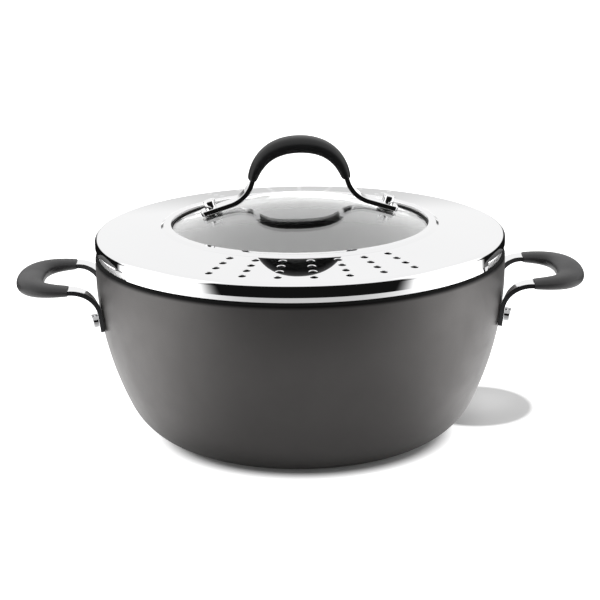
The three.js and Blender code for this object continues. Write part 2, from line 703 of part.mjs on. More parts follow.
function lidHandle() {
  const handle = new THREE.Group();
  const stations = lidHandleStations();
  const holes = LEGS.map((side) => {
    return drill(BOLT_SHANK + 2 * SHANK_GAP, CUT_THROUGH * STRAP_THICKNESS).applyMatrix4(boltPlace(side));
  });
  handle.add(piece('lid_strap', cut(bar(stations), holes), STEEL));
  const sleeved = betweenLegs(stations);
  handle.add(piece('lid_grip', sleeve(sleeved, LID_GRIP_WIDTH, LID_GRIP_THICKNESS), LID_SILICONE));
  LEGS.forEach((side) => {
    const name = side > 0 ? 'right' : 'left';
    const fixings = [
      [`${name}_lid_bolt`, boltGeometry(), STEEL],
      [`${name}_foot_pad`, washerGeometry(PAD_DIAMETER, PAD_THICKNESS, padTop), SEAL_SILICONE],
      [`${name}_inner_washer`, washerGeometry(WASHER_DIAMETER, WASHER_THICKNESS, washerTop), SEAL_SILICONE],
      [`${name}_flange_nut`, nutGeometry(), STEEL],
    ];
    fixings.forEach(([part, geometry, material]) => {
      handle.add(piece(part, geometry.applyMatrix4(boltPlace(side)), material));
    });
  });
  return handle;
}

const pot = new THREE.Group();
pot.add(potBody(), ...SIDES.map(sideHandle));

const lid = new THREE.Group();
lid.add(lidRing(), glassSeal(), lidGlass(), lidHandle());
lid.rotation.z = radians(LID_TURN);

const casserole = new THREE.Group();
casserole.add(pot, lid);

export default casserole;
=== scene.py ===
# Casserole pot with a straining lid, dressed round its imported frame.
# Metres, +Z up. The origin is the middle of the base, +X runs through the right side handle, -Y is the front.

import math
from collections import namedtuple

import bmesh
import bpy
import numpy as np
from bpy.props import FloatProperty, FloatVectorProperty, IntProperty, PointerProperty
from mathutils import Matrix, Vector

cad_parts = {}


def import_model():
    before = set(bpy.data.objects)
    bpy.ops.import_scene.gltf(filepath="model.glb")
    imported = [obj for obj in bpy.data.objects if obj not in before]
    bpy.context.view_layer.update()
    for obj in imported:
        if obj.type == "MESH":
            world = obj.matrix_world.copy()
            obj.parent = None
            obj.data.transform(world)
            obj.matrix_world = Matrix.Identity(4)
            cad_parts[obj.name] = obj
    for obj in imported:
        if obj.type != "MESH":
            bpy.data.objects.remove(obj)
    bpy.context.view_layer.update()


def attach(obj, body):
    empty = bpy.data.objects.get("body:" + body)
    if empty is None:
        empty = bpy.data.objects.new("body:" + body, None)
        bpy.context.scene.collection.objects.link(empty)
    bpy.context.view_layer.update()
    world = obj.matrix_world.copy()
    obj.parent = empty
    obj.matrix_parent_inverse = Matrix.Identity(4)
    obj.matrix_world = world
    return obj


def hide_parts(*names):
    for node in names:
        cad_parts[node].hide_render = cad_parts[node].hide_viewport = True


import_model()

bl_info = {
    "name": "Casserole pot",
    "version": (1, 0, 0),
    "blender": (4, 5, 0),
    "location": "3D View > Sidebar > Casserole",
    "description": "Builds a casserole pot with riveted handles and a straining lid",
    "category": "Add Mesh",
}

# Smoothness of the meshes
SIDES = 288  # round the pot and the lid
SMALL_SIDES = 40  # round rivets, bolts and washers
HOLE_SIDES = 32
ARC_STEPS = 6  # along a rounded corner
CURVE_STEPS = 32  # along the long curves of the wall and the dome
SECTION_POINTS = 64  # round a sleeve and its channel
LOOP_STEPS = 36  # along half a handle's loop
BEND_STEPS = 16
TIP_STEPS = 6
TIP_STATIONS = TIP_STEPS + 2  # stations of a leg before its bend
LEG_STATIONS = TIP_STATIONS + BEND_STEPS + 2
ON_AXIS = 1e-9  # a point of an outline nearer the axis than this isn't turned into a ring
HOLD = 0.00025  # points this near a rounded corner keep the faces beside it flat
SHARP_ANGLE = math.radians(38)
ON_OUTLINE = math.cos(math.radians(12))  # faces turned no further than this from an outline lie on it
EDGE_FACING = 0.8  # faces of a side strap that look further along Y than this are its edges, painted dark

HANDLES = (("right", 0.0), ("left", math.pi))  # sides and their bearings

# Small shapes
TIP_DRAWN_IN = 0.3  # share of a tip's rounded edge that is left where its corners start
SOFT_EDGE = 0.3  # rounded edges, as shares of the thickness: sheet and seal
FINE_EDGE = 0.15  # edges of the channel round the glass
WASHER_EDGE = 0.25  # pads and washers
INNER_HEAD = ((1 / 2, 1 / 8), (0.8, 1 / 3), (1, 0.75))  # rivet's inner head: shares of radius and height
CUT_REACH = 3  # a hole's cutter reaches this many sheets past the cone's face
FLARE_END = math.radians(68)  # how far round the rounded edge of a hole goes
FLANGE_TAPER = 0.92  # foot of a nut's flange, as a share of its radius
NUT_CHAMFER = 0.94  # end of a nut, as a share of its size
FLANGE_EDGE = 1 / 2  # upright edge of a nut's flange, as a share of the flange's height
CHAMFER_RISE = 1 / 3  # height of a nut's chamfer, also as a share of the flange's height


def length(name, description, millimetres):
    """Property for a size: written in millimetres, kept in metres."""
    return FloatProperty(name=name, description=description, default=millimetres / 1000, unit="LENGTH",
                         precision=5)


def angle(name, description, degrees):
    """Property for an angle: written in degrees, kept in radians."""
    return FloatProperty(name=name, description=description, default=math.radians(degrees), unit="ROTATION")


def amount(name, description, value):
    """Property for a plain number."""
    return FloatProperty(name=name, description=description, default=value)


def colour(name, description, value):
    """Property for a colour, in linear light."""
    return FloatVectorProperty(name=name, description=description, default=value, size=3, min=0, max=1,
                               subtype="COLOR")


class PotSizes(bpy.types.PropertyGroup):
    """Pot body"""
    radius: length("Radius", "Outside of the wall below the rim", 144)
    wall: length("Wall", "Thickness of the wall", 4.2)
    base: length("Base", "Thickness of the base", 6)
    ledge_height: length("Ledge height", "Step round the top, which the lid stands on", 133.6)
    ledge_width: length("Ledge width", "Step inwards from the wall to the rim", 2.2)
    ledge_rounding: length("Ledge rounding", "Rounded outer edge of the ledge", 1.9)
    rim_rise: length("Rim rise", "Rim above the ledge", 8.9)
    rim_rounding: length("Rim rounding", "Rounded edges of the rim", 0.6)
    upright_band: length("Upright band", "Straight band of wall below the ledge", 10)
    flank_radius: length("Flank radius", "Long curve of the side", 219)
    heel_radius: length("Heel radius", "Tight curve from the side into the base", 50.5)


class StrapSizes(bpy.types.PropertyGroup):
    """Bar and sleeve that all three handles share"""
    width: length("Width", "Width of the steel bar", 13)
    thickness: length("Thickness", "Thickness of the steel bar", 3.6)
    bar_rounding: length("Bar rounding", "Rounded corners of the bar's section", 0.45)
    lid_draft: length("Lid draft", "Top of the lid's bar drawn in at each edge", 0.4)
    channel_squareness: amount("Channel squareness", "Exponent of the rounded channel in the sleeve", 14)
    tip_corner: length("Tip corner", "Rounded corners at the feet's tips", 3.25)
    tip_edge: length("Tip edge", "Rounded edge of the feet's tips", 0.6)
    sleeve_end: length("Sleeve end", "Sleeve beside the bar at its ends", 0.88)
    sleeve_cover: length("Sleeve cover", "Sleeve above and below the bar at its ends", 1.18)
    sleeve_edge: length("Sleeve edge", "Rounded edge of the sleeve's ends", 0.5)
    sleeve_gap: length("Sleeve gap", "Clearance between the sleeve and the bar", 0.12)
    width_swell: amount("Width swell", "The higher, the nearer the middle a sleeve widens", 1.5)
    thickness_swell: amount("Thickness swell", "The higher, the nearer the middle a sleeve thickens", 0.7)
    sleeve_squareness: amount("Sleeve squareness", "Exponent of the sleeve's rounded section", 2.4)


class SideHandleSizes(bpy.types.PropertyGroup):
    """Side handles and their rivets"""
    rivet_drop: length("Rivet drop", "Ledge down to the rivets", 39.3)
    leg_spacing: length("Leg spacing", "Between the two rivets of one handle", 68)
    foot_tail: length("Foot tail", "Bar below the rivet", 8.8)
    bend_radius: length("Bend radius", "Bend from the foot to the leg", 19)
    leg_run: length("Leg run", "Level bar between the bend and the sleeve", 1.8)
    reach: length("Reach", "Wall to the outermost point of the grip", 56.3)
    droop: length("Droop", "Fall from the sleeve's ends to its middle", 1.2)
    leg_pull: length("Leg pull", "How long the loop keeps the legs' direction", 22)
    loop_pull: length("Loop pull", "How long the loop keeps straight across its middle", 25)
    grip_width: length("Grip width", "Width of the grip half way along", 19.5)
    grip_thickness: length("Grip thickness", "Thickness of the grip half way along", 11.4)
    rivet_shank: length("Rivet shank", "Diameter of the shank", 5)
    rivet_head: length("Rivet head", "Diameter of the outer head", 9.6)
    rivet_height: length("Rivet height", "Height of the outer head", 3.4)
    rivet_edge: length("Rivet edge", "Rounded edge of the outer head", 0.8)
    inner_head: length("Inner head", "Diameter of the head inside the pot", 10)
    inner_height: length("Inner height", "Height of the head inside the pot", 1.8)


class LidSizes(bpy.types.PropertyGroup):
    """Lid ring, glass and seal"""
    turn: angle("Turn", "How far the lid lies turned on the pot", 3.2)
    seat_gap: length("Seat gap", "Clearance between pieces that rest on each other", 0.3)
    play: length("Play", "Clearance between the pot's rim and the hem", 0.5)
    sheet: length("Sheet", "Thickness of the pressed steel", 1)
    skirt_height: length("Skirt height", "Lower edge up to the corner of skirt and cone", 13.2)
    shoulder: length("Shoulder", "Rounding between the skirt and the cone", 3.5)
    hem_height: length("Hem height", "Rolled edge at the foot of the skirt", 3.6)
    hem_tuck: length("Hem tuck", "How far the rolled edge leans inwards", 0.8)
    fall: angle("Fall", "Slope of the cone, outwards", 6.4)
    notch_half: angle("Notch half angle", "Cut-away skirt to each side of a handle", 31.8)
    notch_rise: length("Notch rise", "Height of the skirt that is cut away", 4.7)
    notch_edge: length("Notch edge", "Height of the turned-in edge above the cut", 1.2)
    notch_tuck: length("Notch tuck", "How far that edge turns inwards", 0.6)
    lip_rise: length("Lip rise", "Folded lip above the cone", 1.83)
    lip_cover: length("Lip cover", "Folded lip over the glass", 4.4)
    lip_slope: length("Lip slope", "Width of the slope from the cone up to the lip", 2.2)
    lip_edge: length("Lip edge", "Rounded inner edge of the folded lip", 0.6)
    lip_crest: length("Lip crest", "Rounding between the slope and the top of the lip", 2)
    rows: IntProperty(name="Rows", description="Rows of holes in a strainer", default=7)
    row_step: angle("Row step", "Angle between rows", 10.21)
    holes: IntProperty(name="Holes", description="Holes in a row", default=4)
    pitch: length("Pitch", "Between the holes of a row", 9.67)
    inset: length("Inset", "Folded lip to the innermost holes", 6)
    front_hole: length("Front hole", "Diameter of the front holes", 5)
    rear_hole: length("Rear hole", "Diameter of the rear holes", 3)
    hole_edge: length("Hole edge", "Rounded edge of the holes", 0.55)
    rear_turn: angle("Rear turn", "How far the rear strainer lies off the front one's line", -3.8)
    glass_radius: length("Glass radius", "Edge of the glass", 94.7)
    glass_curve: length("Glass curve", "Radius of the dome's outer face", 200)
    glass_fall: angle("Glass fall", "Slope of the straight margin round the dome", 18.7)
    glass_sink: length("Glass sink", "Top of the lip down to the glass beside it", 3.32)
    glass_thickness: length("Glass thickness", "Thickness of the glass", 4)
    glass_edge: length("Glass edge", "Rounded edge of the glass", 0.6)
    seal_web: length("Seal web", "Seal beside the glass", 1.2)
    seal_leg: length("Seal leg", "Seal above and below the glass", 0.7)
    seal_shows: length("Seal shows", "Seal beyond the steel lip", 0.6)


class LidHandleSizes(bpy.types.PropertyGroup):
    """Lid handle and its fixings"""
    bolt_spacing: length("Bolt spacing", "Between the two bolts", 121)
    foot_tail: length("Foot tail", "Bar outside the bolt", 8.1)
    foot_lead: length("Foot lead", "Flat bar inside the bolt", 13.6)
    bend_radius: length("Bend radius", "Bend from the foot to the leg", 22.9)
    leg_angle: angle("Leg angle", "Slope of the leg above the level", 75)
    leg_run: length("Leg run", "Straight bar between the bend and the sleeve", 1)
    rise: length("Rise", "Crown of the glass to the top of the grip", 44.74)
    leg_pull: length("Leg pull", "How long the arch keeps the legs' direction", 17)
    top_pull: length("Top pull", "How long the arch keeps level at its top", 17)
    grip_width: length("Grip width", "Width of the grip half way along", 20)
    grip_thickness: length("Grip thickness", "Thickness of the grip half way along", 11.8)
    bolt_shank: length("Bolt shank", "Diameter of the shank", 5)
    bolt_head: length("Bolt head", "Diameter of the head", 8.4)
    bolt_height: length("Bolt height", "Height of the head", 5.4)
    bolt_edge: length("Bolt edge", "Rounded edge of the head", 0.7)
    pad: length("Pad", "Diameter of the pads under the feet", 12.4)
    pad_thickness: length("Pad thickness", "Thickness of the pads", 0.6)
    washer: length("Washer", "Diameter of the washers under the glass", 14)
    washer_thickness: length("Washer thickness", "Thickness of the washers", 1)
    flange: length("Flange", "Diameter of the nuts' flange", 12)
    flange_height: length("Flange height", "Thickness of the nuts' flange", 1.2)
    nut: length("Nut", "Nuts across their corners", 9.2)
    nut_height: length("Nut height", "Height of the nuts with their flange", 4.6)
    bolt_end: length("Bolt end", "Bolt beyond its nut", 0.8)


class Finishes(bpy.types.PropertyGroup):
    """Colours of the materials, and the shade that is painted on the wall and the ledge under the lid"""
    anodise: colour("Anodise", "Blasted and anodised outside", (0.122, 0.117, 0.115))
    # Painted shade: the ledge and its rounded edge are coloured near black for the shadow gap and dark
    # reflection under the lid
    anodise_edge: colour("Anodise edge", "Darker edge under the lid", (0.004, 0.004, 0.004))
    # Painted shade: height of wall below the ledge over which its colour darkens
    painted_shade_depth: length("Edge fade", "Wall below the ledge over which it darkens", 3)
    bare_rim: colour("Bare rim", "Turned aluminium rim", (0.94, 0.94, 0.94))
    coating: colour("Coating", "Cooking surface", (0.045, 0.044, 0.044))
    steel: colour("Steel", "Polished steel", (0.905, 0.905, 0.91))
    # Partly painted reflection: cut edges are a little darker than the faces, and the near black stands in
    # for the dark room that they reflect
    cut_edge: colour("Cut edge", "Edges of the side straps", (0.055, 0.055, 0.057))
    rivet: colour("Rivet", "Side rivets", (0.46, 0.46, 0.465))
    side_silicone: colour("Side silicone", "Side grips", (0.018, 0.0175, 0.0185))
    lid_silicone: colour("Lid silicone", "Lid grip", (0.006, 0.006, 0.0065))
    seal: colour("Seal", "Seal, pads and washers", (0.012, 0.012, 0.012))
    glass: colour("Glass", "Clear glass", (0.975, 0.985, 0.98))
    floor: colour("Floor", "Studio floor", (0.68, 0.68, 0.68))


class StageSettings(bpy.types.PropertyGroup):
    """Camera and light"""
    bearing: angle("Bearing", "Turn of the camera round the pot", -0.6)
    elevation: angle("Elevation", "Camera above the level", 15.54)
    roll: angle("Roll", "Tilt of the picture", 0.75)
    distance: length("Distance", "Camera to the point that it looks at", 1582.1)
    look_across: length("Look across", "Point that the camera looks at, to the right of the middle", -0.546)
    look_height: length("Look height", "Point that the camera looks at, above the base", 96.3)
    focal_length: amount("Focal length", "Lens of the camera, in millimetres", 133.7)
    key_power: amount("Key power", "Lamp that casts the shadow, in watts", 9)
    surround: amount("Surround", "Brightness of the white surround", 0.985)
    horizon: amount("Horizon", "Brightness of the surround at the level", 0.68)
    horizon_rise: angle("Horizon rise", "Height over which the surround reaches its full brightness", 8)
    side_light: amount("Side light", "Brightness of the soft boxes at the sides", 1.4)
    side_rise: angle("Side rise", "Height of the soft boxes above the level", 45)
    side_floor: amount("Side floor", "Brightness of the table beside the pot, in reflections", 2.0)
    # Painted shade of the pot on the table in front, seen by all but the camera
    front_loss: amount("Front loss", "Share by which all but the camera see the table in front darker", 0.25)
    dark: amount("Dark", "Brightness of the dark room", 0.008)
    dark_half: angle("Dark half angle", "Dark room to each side of the front", 56)
    skew: amount("Skew", "Slope by which the dark front is turned to the right", 0.06)
    dark_rise: angle("Dark rise", "Height of the dark room above the level, straight in front", 25)
    flank_rise: angle("Flank rise", "Height of the dark flanks above the level", 5)
    side_end: angle("Side end", "Bearing from the front where the soft boxes end", 117)
    flank_floor: angle("Flank floor", "Bearing from the front where the floor beyond the table is dark", 108)
    back_start: angle("Back start", "Bearing from the front where the white back wall starts", 168)
    table: length("Table", "How far the pale table reaches from the pot's middle", 410)
    shadow_across: length("Shadow across", "Middle of the shadow that the floor keeps, along X", 129)
    shadow_along: length("Shadow along", "Middle of the shadow that the floor keeps, along Y", 46)
    shadow_wide: length("Shadow wide", "Half of the shadow's width, along X", 44)
    shadow_deep: length("Shadow deep", "Half of the shadow's depth, along Y", 50)
    contact: length("Contact", "Floor round the pot's middle that keeps its contact shadow", 90)
    contact_across: length("Contact across", "Middle of the contact shadow, along X", 3)


class CasseroleSettings(bpy.types.PropertyGroup):
    """All that a user can change"""
    pot: PointerProperty(type=PotSizes)
    strap: PointerProperty(type=StrapSizes)
    side: PointerProperty(type=SideHandleSizes)
    lid: PointerProperty(type=LidSizes)
    arch: PointerProperty(type=LidHandleSizes)
    finish: PointerProperty(type=Finishes)
    stage: PointerProperty(type=StageSettings)


# Outlines

def arc(centre, radius, start, end, steps):
    """Points of an arc about a centre, from one angle to another."""
    turns = np.linspace(start, end, steps + 1)
    return [(centre[0] + radius * math.cos(t), centre[1] + radius * math.sin(t)) for t in turns]


def rounded_corner(before, corner, after, rounding):
    """Arc that rounds one corner of an outline, with a point on each side that keeps its neighbours flat."""
    to_before = (before - corner).normalized()
    to_after = (after - corner).normalized()
    half = to_before.angle(to_after) / 2
    reach = rounding / math.tan(half)
    first = corner + to_before * reach
    last = corner + to_after * reach
    centre = corner + (to_before + to_after).normalized() * (rounding / math.sin(half))
    spoke = first - centre
    swing = spoke.angle_signed(last - centre)
    points = [first + to_before * HOLD]
    for step in range(ARC_STEPS + 1):
        turn = Matrix.Rotation(-swing * step / ARC_STEPS, 2)
        points.append(centre + turn @ spoke)
    points.append(last + to_after * HOLD)
    return [tuple(p) for p in points]


def closed_outline(corners):
    """Closed outline through (radius, height, rounding) corners."""
    outline = []
    for index, (radius, height, rounding) in enumerate(corners):
        corner = Vector((radius, height))
        if rounding == 0:
            outline.append(tuple(corner))
            continue
        before = Vector(corners[index - 1][:2])
        after = Vector(corners[(index + 1) % len(corners)][:2])
        outline.extend(rounded_corner(before, corner, after, rounding))
    return outline


# Meshes

def mesh_of(name, points, faces):
    mesh = bpy.data.meshes.new(name)
    mesh.from_pydata([tuple(p) for p in points], [], faces)
    return mesh


def shaded(mesh):
    """The same mesh with smooth faces, and with sharp edges where it turns further than the sharp angle."""
    mesh.polygons.foreach_set("use_smooth", [True] * len(mesh.polygons))
    mesh.set_sharp_from_angle(angle=SHARP_ANGLE)
    return mesh


def turned(name, outline, sides=SIDES, closed=False, zones=None):
    """Solid of revolution about Z, whose outline runs up its outside and down its inside.

    Zones gives each point's material index, for the faces that start there.
    """
    points, rows = [], []
    for radius, height in outline:
        count = 1 if radius < ON_AXIS else sides
        rows.append([len(points) + i for i in range(count)])
        for i in range(count):
            bearing = 2 * math.pi * i / sides
            points.append((radius * math.cos(bearing), radius * math.sin(bearing), height))
    faces, materials = [], []
    for index in range(len(rows) if closed else len(rows) - 1):
        low, high = rows[index], rows[(index + 1) % len(rows)]
        for i in range(sides):
            j = (i + 1) % sides
            corners = [low[i % len(low)], low[j % len(low)], high[j % len(high)], high[i % len(high)]]
            faces.append(list(dict.fromkeys(corners)))
            materials.append(zones[index] if zones else 0)
    mesh = mesh_of(name, points, faces)
    mesh.polygons.foreach_set("material_index", materials)
    return mesh


def lofted(name, rings, closed=False):
    """Skin over rings of equally many points: closed on itself, or with a flat end at each end."""
    count = len(rings[0])
    points = [p for ring in rings for p in ring]
    faces = []
    for index in range(len(rings) if closed else len(rings) - 1):
        near = index * count
        far = (index + 1) % len(rings) * count
        for i in range(count):
            j = (i + 1) % count
            faces.append([near + i, near + j, far + j, far + i])
    if not closed:
        faces.append(list(range(count)))
        faces.append(list(range((len(rings) - 1) * count, len(rings) * count)))
    mesh = mesh_of(name, points, faces)
    work = bmesh.new()
    work.from_mesh(mesh)
    bmesh.ops.recalc_face_normals(work, faces=work.faces)
    work.to_mesh(mesh)
    work.free()
    return mesh


def piece(name, mesh, materials, body, nodes):
    """Object of a finished mesh, which rides on a body and stands for its CAD nodes."""
    mesh.name = name
    for finish in materials:
        mesh.materials.append(finish)
    made = new_object(name, mesh)
    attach(made, body)
    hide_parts(*nodes)
    return made


def new_object(name, mesh):
    """Object of a mesh, at the origin and linked into the scene."""
    made = bpy.data.objects.new(name, mesh)
    bpy.context.scene.collection.objects.link(made)
    return made


def turned_about_z(mesh, bearing):
    mesh.transform(Matrix.Rotation(bearing, 4, "Z"))
    return mesh


# Node trees

class Signal:
    """An output of a node. Sums written with it, as in plain Python, add Math nodes to its tree."""

    def __init__(self, socket):
        self.socket = socket
        self.tree = socket.id_data
        self.inputs = socket.node.inputs

    def __getitem__(self, output):
        """Another output of the same node."""
        return Signal(self.socket.node.outputs[output])

    def __add__(self, other):
        return maths("ADD", self, other)

    def __sub__(self, other):
        return maths("SUBTRACT", self, other)

    def __rsub__(self, other):
        return maths("SUBTRACT", other, self)

    def __mul__(self, other):
        return maths("MULTIPLY", self, other)

    def __truediv__(self, other):
        return maths("DIVIDE", self, other)

    __radd__ = __add__
    __rmul__ = __mul__

    def into(self, socket):
        """Feed an input of another node."""
        self.tree.links.new(self.socket, socket)


def add_node(tree, kind, inputs=None, **settings):
    """New node with its settings and its inputs, which are values or signals: returns its first output."""
    made = tree.nodes.new(kind)
    for name, value in settings.items():
        setattr(made, name, value)
    for key, value in (inputs or {}).items():
        if isinstance(value, Signal):
            value.into(made.inputs[key])
        else:
            made.inputs[key].default_value = value
    return Signal(made.outputs[0])


def maths(operation, first, second=0.0, kind="ShaderNodeMath"):
    """Node that works on two values, of which at least one is a signal."""
    tree = first.tree if isinstance(first, Signal) else second.tree
    return add_node(tree, kind, {0: first, 1: second}, operation=operation)


def vector_maths(operation, first, second):
    return maths(operation, first, second, "ShaderNodeVectorMath")


def new_tree(name, kind, inputs, outputs):
    """Node group with named sockets: returns the tree, what comes in and the sockets that go out."""
    tree = bpy.data.node_groups.new(name, kind)
    for label, socket_kind in outputs:
        tree.interface.new_socket(label, in_out="OUTPUT", socket_type=socket_kind)
    for label, socket_kind in inputs:
        tree.interface.new_socket(label, in_out="INPUT", socket_type=socket_kind)
    return tree, add_node(tree, "NodeGroupInput"), tree.nodes.new("NodeGroupOutput").inputs


GEOMETRY = "NodeSocketGeometry"
NUMBER = "NodeSocketFloat"
COUNT = "NodeSocketInt"
OBJECT = "NodeSocketObject"
MATERIAL = "NodeSocketMaterial"
VECTOR = "NodeSocketVector"


def set_on_points(shape, count, place, tilt, bearing):
    """Copies of a shape on a row of points, each leaning outwards by a tilt at its own bearing."""
    tree = shape.tree
    line = add_node(tree, "GeometryNodeMeshLine", {"Count": count})
    placed = add_node(tree, "GeometryNodeSetPosition", {"Geometry": line, "Position": place})
    lean = add_node(tree, "ShaderNodeCombineXYZ", {"Y": tilt, "Z": bearing})
    turn = add_node(tree, "FunctionNodeEulerToRotation", {0: lean})
    copies = add_node(tree, "GeometryNodeInstanceOnPoints", {
        "Points": placed, "Instance": shape, "Rotation": turn})
    return add_node(tree, "GeometryNodeRealizeInstances", {0: copies})


def round_place(radius, bearing, height):
    across = radius * maths("COSINE", bearing)
    along = radius * maths("SINE", bearing)
    return add_node(bearing.tree, "ShaderNodeCombineXYZ", {0: across, 1: along, 2: height})


def dressed(shape, finish):
    return add_node(shape.tree, "GeometryNodeSetMaterial", {"Geometry": shape, "Material": finish})


def fixings_tree():
    """Copies of one fixing in two like groups, at the right and at the left."""
    tree, given, end = new_tree("mirrored_fixings", "GeometryNodeTree", [
        ("Geometry", GEOMETRY), ("Per Side", COUNT), ("Half Angle", NUMBER), ("Turn", NUMBER),
        ("Radius", NUMBER), ("Height", NUMBER), ("Tilt", NUMBER), ("Material", MATERIAL),
    ], [("Geometry", GEOMETRY)])
    per_side = given["Per Side"]
    index = add_node(tree, "GeometryNodeInputIndex")
    side = maths("FLOOR", index / per_side)
    step = index - side * per_side
    spread = step * 2.0 - (per_side - 1.0)
    bearing = side * math.pi + (spread * given["Half Angle"] + given["Turn"])
    place = round_place(given["Radius"], bearing, given["Height"])
    copies = set_on_points(given["Geometry"], per_side * 2.0, place, given["Tilt"], bearing)
    dressed(copies, given["Material"]).into(end[0])
    return tree


STRAINERS = ("Front", "Rear")
ROW_SIZES = [
    ("Rows", COUNT), ("Row Step", NUMBER), ("Holes", COUNT), ("Pitch", NUMBER), ("First Radius", NUMBER),
    ("First Height", NUMBER), ("Fall", NUMBER),
]


def strainer_tree():
    """Copies of one hole cutter in rows that fan out along a cone."""
    tree, given, end = new_tree("strainer_rows", "GeometryNodeTree", [
        ("Cutter", OBJECT), *ROW_SIZES, ("Bearing", NUMBER),
    ], [("Geometry", GEOMETRY)])
    cutter = add_node(tree, "GeometryNodeObjectInfo", {"Object": given["Cutter"]})["Geometry"]
    index = add_node(tree, "GeometryNodeInputIndex")
    row = maths("FLOOR", index / given["Holes"])
    hole = index - row * given["Holes"]
    middle = (given["Rows"] - 1.0) / 2.0
    bearing = given["Bearing"] + (row - middle) * given["Row Step"]
    out = hole * given["Pitch"]
    height = given["First Height"] - out * maths("TANGENT", given["Fall"])
    place = round_place(given["First Radius"] + out, bearing, height)
    set_on_points(cutter, given["Rows"] * given["Holes"], place, given["Fall"], bearing).into(end[0])
    return tree


def perforation_tree():
    """Ring with a front and a rear strainer and its skirt's notches cut out of it."""
    rows = strainer_tree()
    own = [(f"{strainer} Cutter", OBJECT) for strainer in STRAINERS]
    own += [(f"{strainer} Bearing", NUMBER) for strainer in STRAINERS]
    tree, given, end = new_tree("perforated_ring", "GeometryNodeTree", [
        ("Geometry", GEOMETRY), ("Notch Cutter", OBJECT), ("Material", MATERIAL), *ROW_SIZES, *own,
    ], [("Geometry", GEOMETRY)])
    notches = add_node(tree, "GeometryNodeObjectInfo", {"Object": given["Notch Cutter"]})["Geometry"]
    cut = add_node(tree, "GeometryNodeMeshBoolean", {"Mesh 1": given["Geometry"], "Mesh 2": notches},
                   operation="DIFFERENCE", solver="MANIFOLD")
    for strainer in STRAINERS:
        inputs = {label: given[label] for label, _ in ROW_SIZES}
        inputs["Cutter"] = given[f"{strainer} Cutter"]
        inputs["Bearing"] = given[f"{strainer} Bearing"]
        add_node(tree, "GeometryNodeGroup", inputs, node_tree=rows).into(cut.inputs["Mesh 2"])
    whole = add_node(tree, "GeometryNodeRealizeInstances", {0: cut})
    dressed(whole, given["Material"]).into(end[0])
    return tree


def grown(mesh, tree, values):
    """Plain mesh that a geometry tree makes of a mesh, with its named inputs."""
    carrier = new_object("carrier", mesh)
    modifier = carrier.modifiers.new("tree", "NODES")
    modifier.node_group = tree
    for item in tree.interface.items_tree:
        if item.in_out == "INPUT" and item.name in values:
            modifier[item.identifier] = values[item.name]
    depsgraph = bpy.context.evaluated_depsgraph_get()
    made = bpy.data.meshes.new_from_object(carrier.evaluated_get(depsgraph), depsgraph=depsgraph)
    carrier.modifiers.remove(modifier)
    bpy.data.objects.remove(carrier)
    return made


# Materials

Look = namedtuple("Look", "tone metallic grain cloud bump rough shade specular", defaults=(0.04, 0.5))

# Each plain finish: its colour's name, how metallic it is, the scales of its grain and its clouds, the
# height of its grain in metres, its roughness where clean and where smudged, how far its shade wanders
# and its gloss.
LOOKS = {
    "blasted_anodise": Look("anodise", 0.85, 1500, 9, 3e-5, (0.44, 0.52)),
    # Painted shade: near-black, dull finish for the shadow gap and dark reflection under the lid
    "anodised_edge": Look("anodise_edge", 0, 1500, 9, 2e-5, (0.65, 0.75), specular=0.1),
    "cooking_coating": Look("coating", 0, 900, 12, 4e-5, (0.36, 0.46), shade=0.12),
    "mirror_steel": Look("steel", 1, 14, 6, 4e-6, (0.008, 0.02), shade=0.01),
    # Partly painted reflection: a little darker as a cut edge, near black for the dark room that it reflects
    "cut_edge": Look("cut_edge", 1, 300, 6, 1e-5, (0.16, 0.26), shade=0.05),
    "satin_rivet": Look("rivet", 1, 14, 6, 4e-6, (0.08, 0.14), shade=0.05),
    "side_silicone": Look("side_silicone", 0, 1300, 25, 3e-5, (0.42, 0.55), shade=0.1),
    "lid_silicone": Look("lid_silicone", 0, 1300, 25, 3e-5, (0.38, 0.5), shade=0.1, specular=0.35),
    "seal_rubber": Look("seal", 0, 1300, 25, 3e-5, (0.5, 0.65), shade=0.1),
}
SMUDGE_SCALE = 30.0
CLOUD_NOISE = (0.3, 0.7)  # nearly all values of the noise lie between these
SMUDGE_NOISE = (0.35, 0.7)
LEDGE_PAINTED_SHADE = 0.05  # painted shade: share of the wall's colour that is left at the ledge, under the lid
LATHE_LINES = (40.0, 40.0, 5000.0)  # scale of the rim's grain, far finer up than round


def grain_group():
    """Fine grain of a surface, and broad clouds over it."""
    tree, given, end = new_tree("fine_grain", "ShaderNodeTree", [
        ("Vector", VECTOR), ("Grain Scale", NUMBER), ("Cloud Scale", NUMBER),
    ], [("Grain", NUMBER), ("Cloud", NUMBER)])
    grain = add_node(tree, "ShaderNodeTexNoise", {
        "Vector": given["Vector"], "Scale": given["Grain Scale"], "Detail": 3.0, "Roughness": 0.6})
    cloud = add_node(tree, "ShaderNodeTexNoise", {
        "Vector": given["Vector"], "Scale": given["Cloud Scale"], "Detail": 4.0, "Roughness": 0.55})
    grain["Fac"].into(end["Grain"])
    cloud["Fac"].into(end["Cloud"])
    return tree


def smudge_group():
    """Roughness that wanders between two values, as where a surface has been handled."""
    tree, given, end = new_tree("handling_smudges", "ShaderNodeTree", [
        ("Vector", VECTOR), ("Scale", NUMBER), ("Clean", NUMBER), ("Smudged", NUMBER),
    ], [("Roughness", NUMBER)])
    noise = add_node(tree, "ShaderNodeTexNoise", {
        "Vector": given["Vector"], "Scale": given["Scale"], "Detail": 5.0, "Roughness": 0.6,
        "Distortion": 0.4})
    mapped(noise["Fac"], *SMUDGE_NOISE, given["Clean"], given["Smudged"]).into(end[0])
    return tree


